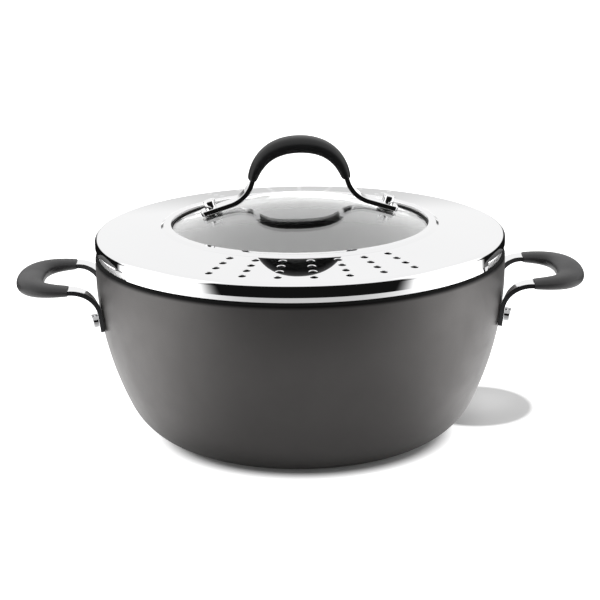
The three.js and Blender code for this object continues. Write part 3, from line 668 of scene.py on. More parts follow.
def mapped(value, low, high, at_low=0.0, at_high=1.0, curve="LINEAR"):
    """Value that goes from one number to another while the given one goes from low to high."""
    return add_node(value.tree, "ShaderNodeMapRange", {
        "Value": value, 1: low, 2: high, 3: at_low, 4: at_high}, interpolation_type=curve)


def smooth_step(value, low, high, at_low=0.0, at_high=1.0):
    return mapped(value, low, high, at_low, at_high, "SMOOTHSTEP")


def new_material(name):
    """Material with object coordinates: returns it, its shader and the coordinates."""
    made = bpy.data.materials.new(name)
    made.use_nodes = True
    place = add_node(made.node_tree, "ShaderNodeTexCoord")["Object"]
    return made, made.node_tree.nodes["Principled BSDF"], place


def set_values(shader, values):
    for label, value in values.items():
        shader.inputs[label].default_value = value


def grained(place, groups, grain, cloud):
    return add_node(place.tree, "ShaderNodeGroup", {
        "Vector": place, "Grain Scale": grain, "Cloud Scale": cloud}, node_tree=groups["grain"])


def smudge(shader, place, groups, scale, clean, smudged):
    """Let a shader's roughness wander."""
    add_node(place.tree, "ShaderNodeGroup", {
        "Vector": place, "Scale": scale, "Clean": clean, "Smudged": smudged,
    }, node_tree=groups["smudge"]).into(shader.inputs["Roughness"])


def bump(shader, height, distance):
    """Raise a shader's surface in fine bumps."""
    add_node(height.tree, "ShaderNodeBump", {
        "Height": height, "Distance": distance, "Strength": 1.0}).into(shader.inputs["Normal"])


def surface(name, tone, groups, fade=None):
    """Material of a plain finish; its colour can darken to a share of itself between two heights, as a
    painted shade.
    """
    look = LOOKS[name]
    _, shader, place = new_material(name)
    set_values(shader, {"Metallic": look.metallic, "Specular IOR Level": look.specular})
    texture = grained(place, groups, look.grain, look.cloud)
    shade = mapped(texture["Cloud"], *CLOUD_NOISE, 1 - look.shade, 1 + look.shade)
    colour_over = vector_maths("MULTIPLY", tuple(tone), shade)
    # Painted shade: the colour darkens to a share of itself between two heights
    if fade:
        height = add_node(place.tree, "ShaderNodeSeparateXYZ", {0: place})["Z"]
        low, high, least = fade
        colour_over = vector_maths("MULTIPLY", colour_over, smooth_step(height, low, high, 1.0, least))
    colour_over.into(shader.inputs["Base Color"])
    smudge(shader, place, groups, SMUDGE_SCALE, *look.rough)
    bump(shader, texture["Grain"], look.bump)


def turned_metal(name, tone, groups):
    """Bare metal with the fine level lines of a lathe tool."""
    _, shader, place = new_material(name)
    set_values(shader, {"Metallic": 1.0, "Base Color": (*tone, 1)})
    stretched = add_node(place.tree, "ShaderNodeMapping", {"Vector": place, "Scale": LATHE_LINES})
    smudge(shader, stretched, groups, scale=0.6, clean=0.34, smudged=0.48)
    bump(shader, grained(stretched, groups, grain=1.0, cloud=0.2)["Grain"], distance=6e-6)


def clear_glass(name, tone, groups):
    """Glass whose hard coat gives it the strong reflections of a polished lid."""
    _, shader, place = new_material(name)
    set_values(shader, {
        "Base Color": (*tone, 1), "Transmission Weight": 1.0, "IOR": 1.5, "Coat Weight": 1.0, "Coat IOR": 2.0,
        "Coat Roughness": 0.0})
    smudge(shader, place, groups, scale=24.0, clean=0.0, smudged=0.012)


def make_materials(finish, pot):
    """Every material of the pot; the wall's colour darkens towards the ledge in a painted shade under the
    lid.
    """
    groups = {"grain": grain_group(), "smudge": smudge_group()}
    edge = pot.ledge_height - pot.ledge_rounding
    fades = {"blasted_anodise": (edge - finish.painted_shade_depth, edge, LEDGE_PAINTED_SHADE)}
    for name, look in LOOKS.items():
        surface(name, getattr(finish, look.tone), groups, fades.get(name))
    turned_metal("bare_rim", finish.bare_rim, groups)
    clear_glass("clear_glass", finish.glass, groups)


def material(name):
    """Material by name; all of them are made on the first call."""
    if name not in bpy.data.materials:
        sizes = bpy.context.scene.casserole
        make_materials(sizes.finish, sizes.pot)
    return bpy.data.materials[name]


# Forms that several pieces share

class PotForm:
    """Heights, radii and curves that follow from the pot's sizes."""

    def __init__(self, pot):
        self.pot = pot
        self.rim_radius = pot.radius - pot.ledge_width
        self.inner_radius = pot.radius - pot.wall
        self.rim_top = pot.ledge_height + pot.rim_rise
        self.upright_from = pot.ledge_height - pot.upright_band

    def wall_curve(self, radius, flank, heel, floor):
        """Curve from the axis out along the floor, round the heel and up the flank."""
        flank_centre = (radius - flank, self.upright_from)
        rise = self.upright_from - floor - heel
        heel_centre = (flank_centre[0] + math.sqrt((flank - heel) ** 2 - rise ** 2), floor + heel)
        meet = -math.asin(rise / (flank - heel))
        return [
            (0, floor),
            *arc(heel_centre, heel, -math.pi / 2, meet, CURVE_STEPS),
            *arc(flank_centre, flank, meet, 0, CURVE_STEPS)[1:],
        ]

    def flank_at(self, height):
        """Outside radius of the flank at a height, and how far it leans from upright there."""
        lean = math.asin(max(0, self.upright_from - height) / self.pot.flank_radius)
        return self.pot.radius - self.pot.flank_radius * (1 - math.cos(lean)), lean


class LidForm:
    """Heights and radii that follow from the sizes of the pot and the lid."""

    def __init__(self, pot, lid):
        self.lid = lid
        gap = lid.seat_gap
        self.radius = pot.radius
        self.hem_bottom = pot.ledge_height + gap
        self.hem_top = self.hem_bottom + lid.hem_height
        self.hem_inner = pot.radius - pot.ledge_width + lid.play
        self.lip_radius = lid.glass_radius - lid.lip_cover
        self.seal_radius = lid.glass_radius + gap + lid.seal_web
        self.channel_radius = self.seal_radius + gap
        self.collar_radius = self.channel_radius + lid.sheet
        self.lip_top = self.cone_top(self.collar_radius) + lid.lip_rise
        self.crown = self.lip_top - lid.glass_sink + self.dome_drop(lid.glass_curve, self.lip_radius)

    def cone_top(self, radius):
        return self.hem_bottom + self.lid.skirt_height + (self.radius - radius) * math.tan(self.lid.fall)

    def dome_drop(self, curve, radius):
        """Drop below its crown of a dome that runs out into a straight margin."""
        fall = self.lid.glass_fall
        round_part = min(radius, curve * math.sin(fall))
        return curve - math.sqrt(curve ** 2 - round_part ** 2) + (radius - round_part) * math.tan(fall)

    def glass_top(self, radius):
        return self.crown - self.dome_drop(self.lid.glass_curve, radius)

    def glass_under(self, radius):
        thickness = self.lid.glass_thickness
        return self.crown - thickness - self.dome_drop(self.lid.glass_curve - thickness, radius)

    def glass_lean(self, radius):
        return min(math.asin(radius / self.lid.glass_curve), self.lid.glass_fall)

    def seal_top(self, radius):
        return self.glass_top(radius) + self.lid.seat_gap + self.lid.seal_leg

    def seal_bottom(self, radius):
        return self.glass_under(radius) - self.lid.seat_gap - self.lid.seal_leg

    def lip_under(self, radius):
        return self.seal_top(radius) + self.lid.seat_gap

    def lower_lip_top(self, radius):
        return self.seal_bottom(radius) - self.lid.seat_gap


Station = namedtuple("Station", "place along across share inset")


def station(place, along, across, share=1.0, inset=0.0):
    """Place along a bar, with the share of its width and how far its edge is drawn in there."""
    return Station(Vector(place), Vector(along), Vector(across), share, inset)


def section(at, width, thickness, squareness):
    """Rounded section of a sleeve or its channel at a station."""
    up = at.along.cross(at.across)
    ring = []
    for index in range(SECTION_POINTS):
        bearing = 2 * math.pi * index / SECTION_POINTS
        wide = math.copysign(abs(math.cos(bearing)) ** (2 / squareness), math.cos(bearing))
        high = math.copysign(abs(math.sin(bearing)) ** (2 / squareness), math.sin(bearing))
        ring.append(at.place + at.across * (wide * width / 2) + up * (high * thickness / 2))
    return ring


def bar_section(at, width, thickness, rounding, draft):
    """Flat section of a bar at a station, with rounded corners.

    The face that looks up is drawn in by the draft at both edges.
    """
    up = at.along.cross(at.across)
    wide, high = width / 2, thickness / 2
    over = wide - draft if up.z >= 0 else wide
    under = wide if up.z >= 0 else wide - draft
    corners = [Vector(c) for c in ((under, -high), (over, high), (-over, high), (-under, -high))]
    outline = []
    for index, corner in enumerate(corners):
        outline += rounded_corner(corners[index - 1], corner, corners[(index + 1) % 4], rounding)
    return [at.place + at.across * out + up * rise for out, rise in outline]


def leg_path(foot, start, end, tail, lead, bend_radius, run, towards, strap):
    """One leg of a handle in its own upright plane, from the foot's tip round the bend to the sleeve.

    Angles are measured up from the level, and towards is 1 or -1 for the way that the bar runs. Each step
    is a point (distance, height), an angle, a share of the bar's width and how far its edge is drawn in.
    """
    def heading(slope):
        return Vector((towards * math.cos(slope), math.sin(slope)))

    corners = 2 * strap.tip_corner / strap.width
    path = [(foot - heading(start) * tail, start, 1 - corners, strap.tip_edge)]
    for step in range(TIP_STEPS + 1):
        turn = math.pi / 2 * step / TIP_STEPS
        from_tip = strap.tip_edge + (strap.tip_corner - strap.tip_edge) * (1 - math.cos(turn))
        share = 1 - corners * (1 - math.sin(math.acos(1 - from_tip / strap.tip_corner)))
        inset = strap.tip_edge * TIP_DRAWN_IN if step == 0 else 0.0
        path.append((foot + heading(start) * (from_tip - tail), start, share, inset))
    bend_start = foot + heading(start) * lead
    sign = math.copysign(1, end - start)
    centre = bend_start + Vector((-towards * math.sin(start), math.cos(start))) * (sign * bend_radius)
    for step in range(BEND_STEPS + 1):
        slope = start + (end - start) * step / BEND_STEPS
        out = Vector((towards * math.sin(slope), -math.cos(slope))) * (sign * bend_radius)
        path.append((centre + out, slope, 1.0, 0.0))
    path.append((path[-1][0] + heading(end) * run, end, 1.0, 0.0))
    return path


def loop_stations(leg_end, leg_pull, middle, middle_pull, across_of):
    """Stations after a leg's end, along a cubic curve to the handle's middle."""
    first = leg_end.place
    second = first + leg_end.along * leg_pull
    third = middle + Vector(middle_pull)
    fourth = middle
    made = []
    for step in range(1, LOOP_STEPS + 1):
        t = step / LOOP_STEPS
        s = 1 - t
        place = s ** 3 * first + 3 * s * s * t * second + 3 * s * t * t * third + t ** 3 * fourth
        along = s * s * (second - first) + 2 * s * t * (third - second) + t * t * (fourth - third)
        along.normalize()
        made.append(station(place, along, across_of(along)))
    return made


def with_mirror(half, mirror):
    """Whole handle from half of it: the other half is mirrored and runs the other way."""
    def mirrored(vector):
        return Vector(a * b for a, b in zip(vector, mirror))

    other = [
        Station(mirrored(s.place), -mirrored(s.along), mirrored(s.across), s.share, s.inset)
        for s in reversed(half[:-1])
    ]
    return half + other


def side_handle_stations(form, side, strap, gap):
    """Right side handle: each foot lies square on the wall, and the loop joins the two legs."""
    rivet_height = form.pot.ledge_height - side.rivet_drop
    wall_radius, lean = form.flank_at(rivet_height)
    leg_angle = math.asin(side.leg_spacing / 2 / wall_radius)
    seat = gap + strap.thickness / 2
    foot = Vector((wall_radius + seat * math.cos(lean), rivet_height - seat * math.sin(lean)))
    leg = leg_path(foot, math.pi / 2 - lean, 0, side.foot_tail, side.rivet_head / 2 + gap, side.bend_radius,
                   side.leg_run, 1, strap)
    bend_start = leg[TIP_STATIONS][0].x
    turn_radius = (leg[-1][0].x - bend_start) / leg_angle
    half = []
    for place, slope, share, inset in leg:
        bearing = leg_angle - max(0, place.x - bend_start) / turn_radius
        outward = Vector((math.cos(bearing), math.sin(bearing), 0))
        straight = min(place.x, bend_start)
        position = Vector((
            straight * math.cos(leg_angle) + turn_radius * (math.sin(leg_angle) - math.sin(bearing)),
            straight * math.sin(leg_angle) + turn_radius * (math.cos(bearing) - math.cos(leg_angle)),
            place.y,
        ))
        along = outward * math.cos(slope) + Vector((0, 0, math.sin(slope)))
        half.append(station(position, along, (-outward.y, outward.x, 0), share, inset))
    leg_end = half[-1]
    middle = Vector((form.pot.radius + side.reach - side.grip_width / 2, 0, leg_end.place.z - side.droop))
    half += loop_stations(leg_end, side.leg_pull, middle, (0, side.loop_pull, 0),
                          lambda along: Vector((-along.y, along.x, 0)).normalized())
    return with_mirror(half, (1, -1, 1))


def lid_handle_stations(form, arch, strap):
    """Lid handle, in the upright plane along X: from the right foot over the arch to the left foot."""
    bolt_radius = arch.bolt_spacing / 2
    lean = form.glass_lean(bolt_radius)
    seat = under_strap(form, arch) + strap.thickness / 2
    foot = Vector((bolt_radius + seat * math.sin(lean), form.glass_top(bolt_radius) + seat * math.cos(lean)))
    leg = leg_path(foot, lean, arch.leg_angle, arch.foot_tail, arch.foot_lead, arch.bend_radius,
                   arch.leg_run, -1, strap)
    across = Vector((0, -1, 0))
    half = []
    for place, slope, share, inset in leg:
        along = (-math.cos(slope), 0, math.sin(slope))
        half.append(station((place.x, 0, place.y), along, across, share, inset))
    leg_end = half[-1]
    top = Vector((0, 0, form.crown + arch.rise - arch.grip_thickness / 2))
    half += loop_stations(leg_end, arch.leg_pull, top, (arch.top_pull, 0, 0), lambda along: across)
    return with_mirror(half, (-1, 1, 1))


def under_strap(form, arch):
    """Height of the lid strap's underside above the glass."""
    return 2 * form.lid.seat_gap + arch.pad_thickness


def bar_mesh(name, stations, strap, draft=0.0):
    rings = []
    for at in stations:
        width = strap.width * at.share - 2 * at.inset
        rings.append(bar_section(at, width, strap.thickness - 2 * at.inset, strap.bar_rounding, draft))
    return shaded(lofted(name, rings))


def sleeve_mesh(name, stations, strap, width, thickness):
    """Sleeve over the middle of a handle, which swells from thin ends to its full section."""
    sleeved = stations[LEG_STATIONS - 1:len(stations) - LEG_STATIONS + 1]
    channel_width = strap.width + 2 * strap.sleeve_gap
    channel_thickness = strap.thickness + 2 * strap.sleeve_gap
    outer, channel = [], []
    last = len(sleeved) - 1
    for index, at in enumerate(sleeved):
        share = max(0.0, math.sin(math.pi * index / last))
        end_width = channel_width + 2 * strap.sleeve_end
        end_thickness = channel_thickness + 2 * strap.sleeve_cover
        wide = end_width + (width - end_width) * share ** strap.width_swell
        high = end_thickness + (thickness - end_thickness) * share ** strap.thickness_swell
        outer.append((at, wide, high))
        channel.append(section(at, channel_width, channel_thickness, strap.channel_squareness))
    rings = rounded_end(outer[0], outer[0][0].along, strap)
    rings += [section(at, wide, high, strap.sleeve_squareness) for at, wide, high in outer[1:-1]]
    rings += reversed(rounded_end(outer[-1], -outer[-1][0].along, strap))
    return shaded(lofted(name, rings + channel[::-1], closed=True))


def rounded_end(end, inwards, strap):
    """Sections that round the outer edge of a sleeve's end."""
    at, wide, high = end
    rings = []
    for step in range(ARC_STEPS):
        turn = math.pi / 2 * step / (ARC_STEPS - 1)
        inset = strap.sleeve_edge * (1 - math.sin(turn))
        moved = at._replace(place=at.place + inwards * (strap.sleeve_edge * (1 - math.cos(turn))))
        rings.append(section(moved, wide - 2 * inset, high - 2 * inset, strap.sleeve_squareness))
    return rings


# Operators

class CASSEROLE_OT_pot_shell(bpy.types.Operator):
    """Turn the pot's shell, with its ledge painted near black for the shade under the lid, bare rim and
    coated inside
    """
    bl_idname = "casserole.pot_shell"
    bl_label = "Pot shell"

    def execute(self, context):
        pot = context.scene.casserole.pot
        form = PotForm(pot)
        outside = form.wall_curve(pot.radius, pot.flank_radius, pot.heel_radius, 0)
        inside = form.wall_curve(form.inner_radius, pot.flank_radius - pot.wall, pot.heel_radius - pot.base,
                                 pot.base)
        corner = (pot.radius - pot.ledge_rounding, pot.ledge_height - pot.ledge_rounding)
        ledge = arc(corner, pot.ledge_rounding, 0, math.pi / 2, ARC_STEPS)
        edge = pot.rim_rounding
        outer_edge = (form.rim_radius - edge, form.rim_top - edge)
        inner_edge = (form.inner_radius + edge, form.rim_top - edge)
        rim = [
            (form.rim_radius, pot.ledge_height),
            (form.rim_radius, pot.ledge_height + HOLD),
            *arc(outer_edge, edge, 0, math.pi / 2, ARC_STEPS),
            *arc(inner_edge, edge, math.pi / 2, math.pi, ARC_STEPS),
        ]
        runs = [outside, ledge, rim, inside[::-1]]
        outline = [point for run in runs for point in run]
        zones = [zone for zone, run in enumerate(runs) for _ in run]
        mesh = shaded(turned("pot_shell", outline, zones=zones))
        # The ledge run takes the near-black painted shade
        finishes = ("blasted_anodise", "anodised_edge", "bare_rim", "cooking_coating")
        piece("pot_shell", mesh, [material(f) for f in finishes], "pot", ["pot_body"])
        return {"FINISHED"}


class CASSEROLE_OT_side_straps(bpy.types.Operator):
    """Bend the steel bars of the two side handles"""
    bl_idname = "casserole.side_straps"
    bl_label = "Side straps"

    def execute(self, context):
        sizes = context.scene.casserole
        stations = side_handle_stations(PotForm(sizes.pot), sizes.side, sizes.strap, sizes.lid.seat_gap)
        for name, turn in HANDLES:
            mesh = turned_about_z(bar_mesh("bar", stations, sizes.strap), turn)
            for face in mesh.polygons:
                # Edges get the cut-edge finish, painted dark for their reflection of the dark front
                face.material_index = int(abs(face.normal.y) > EDGE_FACING)
            piece(f"{name}_handle_bar", mesh, [material("mirror_steel"), material("cut_edge")], "pot",
                  [f"{name}_side_strap"])
        return {"FINISHED"}


class CASSEROLE_OT_side_grips(bpy.types.Operator):
    """Mould the silicone sleeves of the two side handles"""
    bl_idname = "casserole.side_grips"
    bl_label = "Side grips"

    def execute(self, context):
        sizes = context.scene.casserole
        side = sizes.side
        stations = side_handle_stations(PotForm(sizes.pot), side, sizes.strap, sizes.lid.seat_gap)
        for name, turn in HANDLES:
            mesh = sleeve_mesh("sleeve", stations, sizes.strap, side.grip_width, side.grip_thickness)
            piece(f"{name}_handle_sleeve", turned_about_z(mesh, turn), [material("side_silicone")], "pot",
                  [f"{name}_side_grip"])
        return {"FINISHED"}


class CASSEROLE_OT_side_rivets(bpy.types.Operator):
    """Set the four rivets of the side handles"""
    bl_idname = "casserole.side_rivets"
    bl_label = "Side rivets"

    def execute(self, context):
        sizes = context.scene.casserole
        side, gap = sizes.side, sizes.lid.seat_gap
        form = PotForm(sizes.pot)
        height = sizes.pot.ledge_height - side.rivet_drop
        radius, lean = form.flank_at(height)
        inner_seat = -sizes.pot.wall - gap
        inner_top = inner_seat - side.inner_height
        outer_seat = sizes.strap.thickness + gap
        outer_top = outer_seat + gap + side.rivet_height
        head, shank, inner = side.rivet_head / 2, side.rivet_shank / 2, side.inner_head / 2
        edge = (head - side.rivet_edge, outer_top - side.rivet_edge)
        outline = [
            (0, inner_top),
            *[(inner * out, inner_top + side.inner_height * down) for out, down in INNER_HEAD],
            (inner, inner_seat),
            (shank, inner_seat),
            (shank, outer_seat),
            (head, outer_seat),
            *arc(edge, side.rivet_edge, 0, math.pi / 2, ARC_STEPS),
            (0, outer_top),
        ]
        rivets = grown(turned("rivet", outline, SMALL_SIDES), fixings_tree(), {
            "Per Side": 2,
            "Half Angle": math.asin(side.leg_spacing / 2 / radius),
            "Turn": 0.0,
            "Radius": radius,
            "Height": height,
            "Tilt": math.pi / 2 + lean,
            "Material": material("satin_rivet"),
        })
        nodes = [f"{name}_{end}_rivet" for name, _ in HANDLES for end in ("rear", "front")]
        piece("side_rivets", shaded(rivets), [], "pot", nodes)
        return {"FINISHED"}


def ring_outline(form):
    """Closed outline of the lid ring: hem, skirt, cone, and the channel that holds the glass."""
    lid = form.lid
    sheet = lid.sheet
    cone_sheet = sheet / math.cos(lid.fall)
    skirt_inner = form.radius - sheet
    soft = sheet * SOFT_EDGE
    fine = sheet * FINE_EDGE
    return closed_outline([
        (form.hem_inner, form.hem_bottom, soft),
        (form.radius - lid.hem_tuck, form.hem_bottom, soft),
        (form.radius, form.hem_top, soft),
        (form.radius, form.cone_top(form.radius), lid.shoulder),
        (form.collar_radius, form.cone_top(form.collar_radius), soft),
        (form.collar_radius - lid.lip_slope, form.lip_top, lid.lip_crest),
        (form.lip_radius, form.lip_top, lid.lip_edge),
        (form.lip_radius, form.lip_under(form.lip_radius), fine),
        (form.channel_radius, form.lip_under(form.channel_radius), 0),
        (form.channel_radius, form.lower_lip_top(form.channel_radius), 0),
        (form.lip_radius, form.lower_lip_top(form.lip_radius), fine),
        (form.lip_radius, form.lower_lip_top(form.lip_radius) - sheet, fine),
        (form.collar_radius, form.lower_lip_top(form.channel_radius) - sheet, soft),
        (form.collar_radius, form.cone_top(form.collar_radius) - cone_sheet, soft),
        (skirt_inner, form.cone_top(skirt_inner) - cone_sheet, lid.shoulder - sheet),
        (skirt_inner, form.hem_top + skirt_inner - form.hem_inner, 0),
        (form.hem_inner, form.hem_top, soft),
    ])


def hole_cutter(name, diameter, edge, sheet):
    """Cutter along Z for one hole, with the cone's outer face at zero: it flares to round the hole's edge."""
    reach = CUT_REACH * sheet
    hole = diameter / 2
    flare = [
        (hole + edge * (1 - math.cos(turn)), edge * (math.sin(turn) - 1))
        for turn in np.linspace(0, FLARE_END, ARC_STEPS // 2 + 1)
    ]
    outline = [(0, -reach), (hole, -reach), *flare, (flare[-1][0], reach), (0, reach)]
    return new_object(name, turned(name, outline, HOLE_SIDES))


def notch_cutter(form):
    """Cutter for the skirt beside both side handles: two sectors of a ring, as tall as the part cut away."""
    lid = form.lid
    inside = form.hem_inner - lid.sheet
    outside = form.radius + lid.sheet
    low = form.hem_bottom - lid.sheet
    high = form.hem_bottom + lid.notch_rise
    turned_in = form.radius - lid.notch_tuck
    slope = lid.notch_edge / lid.notch_tuck
    corners = [
        (inside, low), (outside, low), (outside, high + slope * (outside - turned_in)), (turned_in, high),
        (inside, high),
    ]
    count = len(corners)
    points, faces = [], []
    for _, turn in HANDLES:
        first = len(points)
        bearings = np.linspace(turn - lid.notch_half, turn + lid.notch_half, CURVE_STEPS + 1)
        for bearing in bearings:
            points += [(r * math.cos(bearing), r * math.sin(bearing), z) for r, z in corners]
        for step in range(CURVE_STEPS):
            near = first + count * step
            for i in range(count):
                j = (i + 1) % count
                faces.append([near + i, near + count + i, near + count + j, near + j])
        end = first + count * CURVE_STEPS
        faces += [list(range(first, first + count)), list(range(end + count - 1, end - 1, -1))]
    return new_object("notch_cutter", mesh_of("notch_cutter", points, faces))


def follow_outline(mesh, outline):
    """Give the faces that lie on a turned outline its true normals, so that cuts don't dent reflections."""
    path = np.array(outline + outline[:1])
    steps = np.diff(path, axis=0)
    lengths = np.linalg.norm(steps, axis=1)
    normals = np.stack([steps[:, 1], -steps[:, 0]], axis=1) / lengths[:, None]
    at_start = normals + np.roll(normals, 1, axis=0)
    at_start /= np.linalg.norm(at_start, axis=1)[:, None]
    at_end = np.roll(at_start, -1, axis=0)
    points = np.empty(len(mesh.vertices) * 3)
    mesh.vertices.foreach_get("co", points)
    points = points.reshape(-1, 3)
    loop_points = np.empty(len(mesh.loops), int)
    mesh.loops.foreach_get("vertex_index", loop_points)
    custom = np.zeros((len(mesh.loops), 3))
    on_outline = np.zeros(len(mesh.polygons), bool)
    for face in mesh.polygons:
        centre = np.array(face.center)
        spot = np.array((math.hypot(centre[0], centre[1]), centre[2]))
        shares = np.clip(((spot - path[:-1]) * steps).sum(axis=1) / lengths ** 2, 0, 1)
        distances = np.linalg.norm(path[:-1] + shares[:, None] * steps - spot, axis=1)
        nearest = int(distances.argmin())
        spoke = np.array((centre[0], centre[1])) / spot[0]
        expected = np.array((*(normals[nearest][0] * spoke), normals[nearest][1]))
        if expected @ np.array(face.normal) < ON_OUTLINE:
            continue
        on_outline[face.index] = True
        for loop in face.loop_indices:
            place = points[loop_points[loop]]
            reach = math.hypot(place[0], place[1])
            share = (np.array((reach, place[2])) - path[nearest]) @ steps[nearest] / lengths[nearest] ** 2
            share = min(1.0, max(0.0, share))
            blend = at_start[nearest] * (1 - share) + at_end[nearest] * share
            custom[loop] = (blend[0] * place[0] / reach, blend[0] * place[1] / reach, blend[1])
    sharpen_border(shaded(mesh), on_outline)
    mesh.normals_split_custom_set(custom.tolist())
    return mesh


def sharpen_border(mesh, chosen):
    """Add to a mesh's sharp edges those between its chosen faces and the others."""
    beside = {}
    for face in mesh.polygons:
        for edge in face.edge_keys:
            beside.setdefault(edge, set()).add(bool(chosen[face.index]))
    border = [len(beside[edge.key]) > 1 for edge in mesh.edges]
    sharp = np.empty(len(mesh.edges), bool)
    mesh.edges.foreach_get("use_edge_sharp", sharp)
    mesh.edges.foreach_set("use_edge_sharp", sharp | np.array(border))


class CASSEROLE_OT_lid_ring(bpy.types.Operator):
    """Press the lid ring, with its channel, its cut-away skirt and its two strainers"""
    bl_idname = "casserole.lid_ring"
    bl_label = "Lid ring"

    def execute(self, context):
        sizes = context.scene.casserole
        lid = sizes.lid
        form = LidForm(sizes.pot, lid)
        outline = ring_outline(form)
        first = form.collar_radius + lid.inset
        cutters = {
            "Front Cutter": hole_cutter("front_cutter", lid.front_hole, lid.hole_edge, lid.sheet),
            "Rear Cutter": hole_cutter("rear_cutter", lid.rear_hole, lid.hole_edge, lid.sheet),
            "Notch Cutter": notch_cutter(form),
        }
        ring = grown(turned("ring", outline, closed=True), perforation_tree(), {
            **cutters,
            "Rows": lid.rows,
            "Row Step": lid.row_step,
            "Holes": lid.holes,
            "Pitch": lid.pitch,
            "First Radius": first,
            "First Height": form.cone_top(first),
            "Fall": lid.fall,
            "Front Bearing": -math.pi / 2,
            "Rear Bearing": math.pi / 2 + lid.rear_turn,
            "Material": material("mirror_steel"),
        })
        for cutter in cutters.values():
            bpy.data.objects.remove(cutter)
        if len(ring.polygons) == 0:
            raise RuntimeError("the lid ring came out empty")
        ring = turned_about_z(follow_outline(ring, outline), lid.turn)
        piece("perforated_ring", ring, [], "lid", ["lid_ring"])
        return {"FINISHED"}


class CASSEROLE_OT_lid_glass(bpy.types.Operator):
    """Press the glass dome and the seal round its edge"""
    bl_idname = "casserole.lid_glass"
    bl_label = "Glass dome and seal"

    def execute(self, context):
        sizes = context.scene.casserole
        lid = sizes.lid
        form = LidForm(sizes.pot, lid)
        reach, edge = lid.glass_radius, lid.glass_edge
        radii = np.linspace(0, reach - edge, CURVE_STEPS + 1)
        low = form.glass_under(reach - edge) + edge
        high = form.glass_top(reach - edge) - edge
        outline = [
            *[(r, form.glass_under(r)) for r in radii[:-1]],
            *arc((reach - edge, low), edge, -math.pi / 2, 0, ARC_STEPS),
            *arc((reach - edge, high), edge, 0, math.pi / 2, ARC_STEPS),
            *[(r, form.glass_top(r)) for r in radii[-2::-1]],
        ]
        piece("glass_dome", shaded(turned("dome", outline)), [material("clear_glass")], "lid",
              ["lid_glass"])
        gap = lid.seat_gap
        tip = form.lip_radius - lid.seal_shows
        web = lid.glass_radius + gap
        soft = lid.seal_leg * SOFT_EDGE
        seal = closed_outline([
            (tip, form.seal_bottom(tip), soft),
            (form.seal_radius, form.seal_bottom(form.seal_radius), soft),
            (form.seal_radius, form.seal_top(form.seal_radius), soft),
            (tip, form.seal_top(tip), soft),
            (tip, form.glass_top(tip) + gap, 0),
            (web, form.glass_top(web) + gap, 0),
            (web, form.glass_under(web) - gap, 0),
            (tip, form.glass_under(tip) - gap, 0),
        ])
        piece("dome_seal", shaded(turned("seal", seal, closed=True)), [material("seal_rubber")], "lid",
              ["glass_seal"])
        return {"FINISHED"}


class CASSEROLE_OT_lid_handle(bpy.types.Operator):
    """Bend the lid handle's steel bar and mould its sleeve"""
    bl_idname = "casserole.lid_handle"
    bl_label = "Lid handle"

    def execute(self, context):
        sizes = context.scene.casserole
        arch, strap, turn = sizes.arch, sizes.strap, sizes.lid.turn
        stations = lid_handle_stations(LidForm(sizes.pot, sizes.lid), arch, strap)
        bar = turned_about_z(bar_mesh("bar", stations, strap, strap.lid_draft), turn)
        piece("lid_handle_bar", bar, [material("mirror_steel")], "lid", ["lid_strap"])
        sleeve = sleeve_mesh("sleeve", stations, strap, arch.grip_width, arch.grip_thickness)
        piece("lid_handle_sleeve", turned_about_z(sleeve, turn), [material("lid_silicone")], "lid",
              ["lid_grip"])
        return {"FINISHED"}


def washer_mesh(inner, outer, low, high):
    soft = (high - low) * WASHER_EDGE
    outline = closed_outline([(inner, low, 0), (outer, low, soft), (outer, high, soft), (inner, high, 0)])
    return turned("washer", outline, SMALL_SIDES, closed=True)


def nut_mesh(arch, bore, top):
    """Six-sided nut with a round flange towards its washer."""
    bearings = [2 * math.pi * i / SMALL_SIDES for i in range(SMALL_SIDES)]

    def circle(radius, height):
        return [(radius * math.cos(b), radius * math.sin(b), height) for b in bearings]

    def hexagon(height, scale=1.0):
        flat = arch.nut / 2 * math.cos(math.pi / 6) * scale
        reach = [flat / math.cos((b + math.pi / 6) % (math.pi / 3) - math.pi / 6) for b in bearings]
        return [(r * math.cos(b), r * math.sin(b), height) for r, b in zip(reach, bearings)]

    flange = arch.flange / 2
    under = top - arch.flange_height
    bottom = top - arch.nut_height
    return lofted("nut", [
        circle(bore, top),
        circle(flange, top),
        circle(flange, top - arch.flange_height * FLANGE_EDGE),
        circle(flange * FLANGE_TAPER, under),
        hexagon(under),
        hexagon(bottom + arch.flange_height * CHAMFER_RISE),
        hexagon(bottom, NUT_CHAMFER),
        circle(bore, bottom),
    ], closed=True)


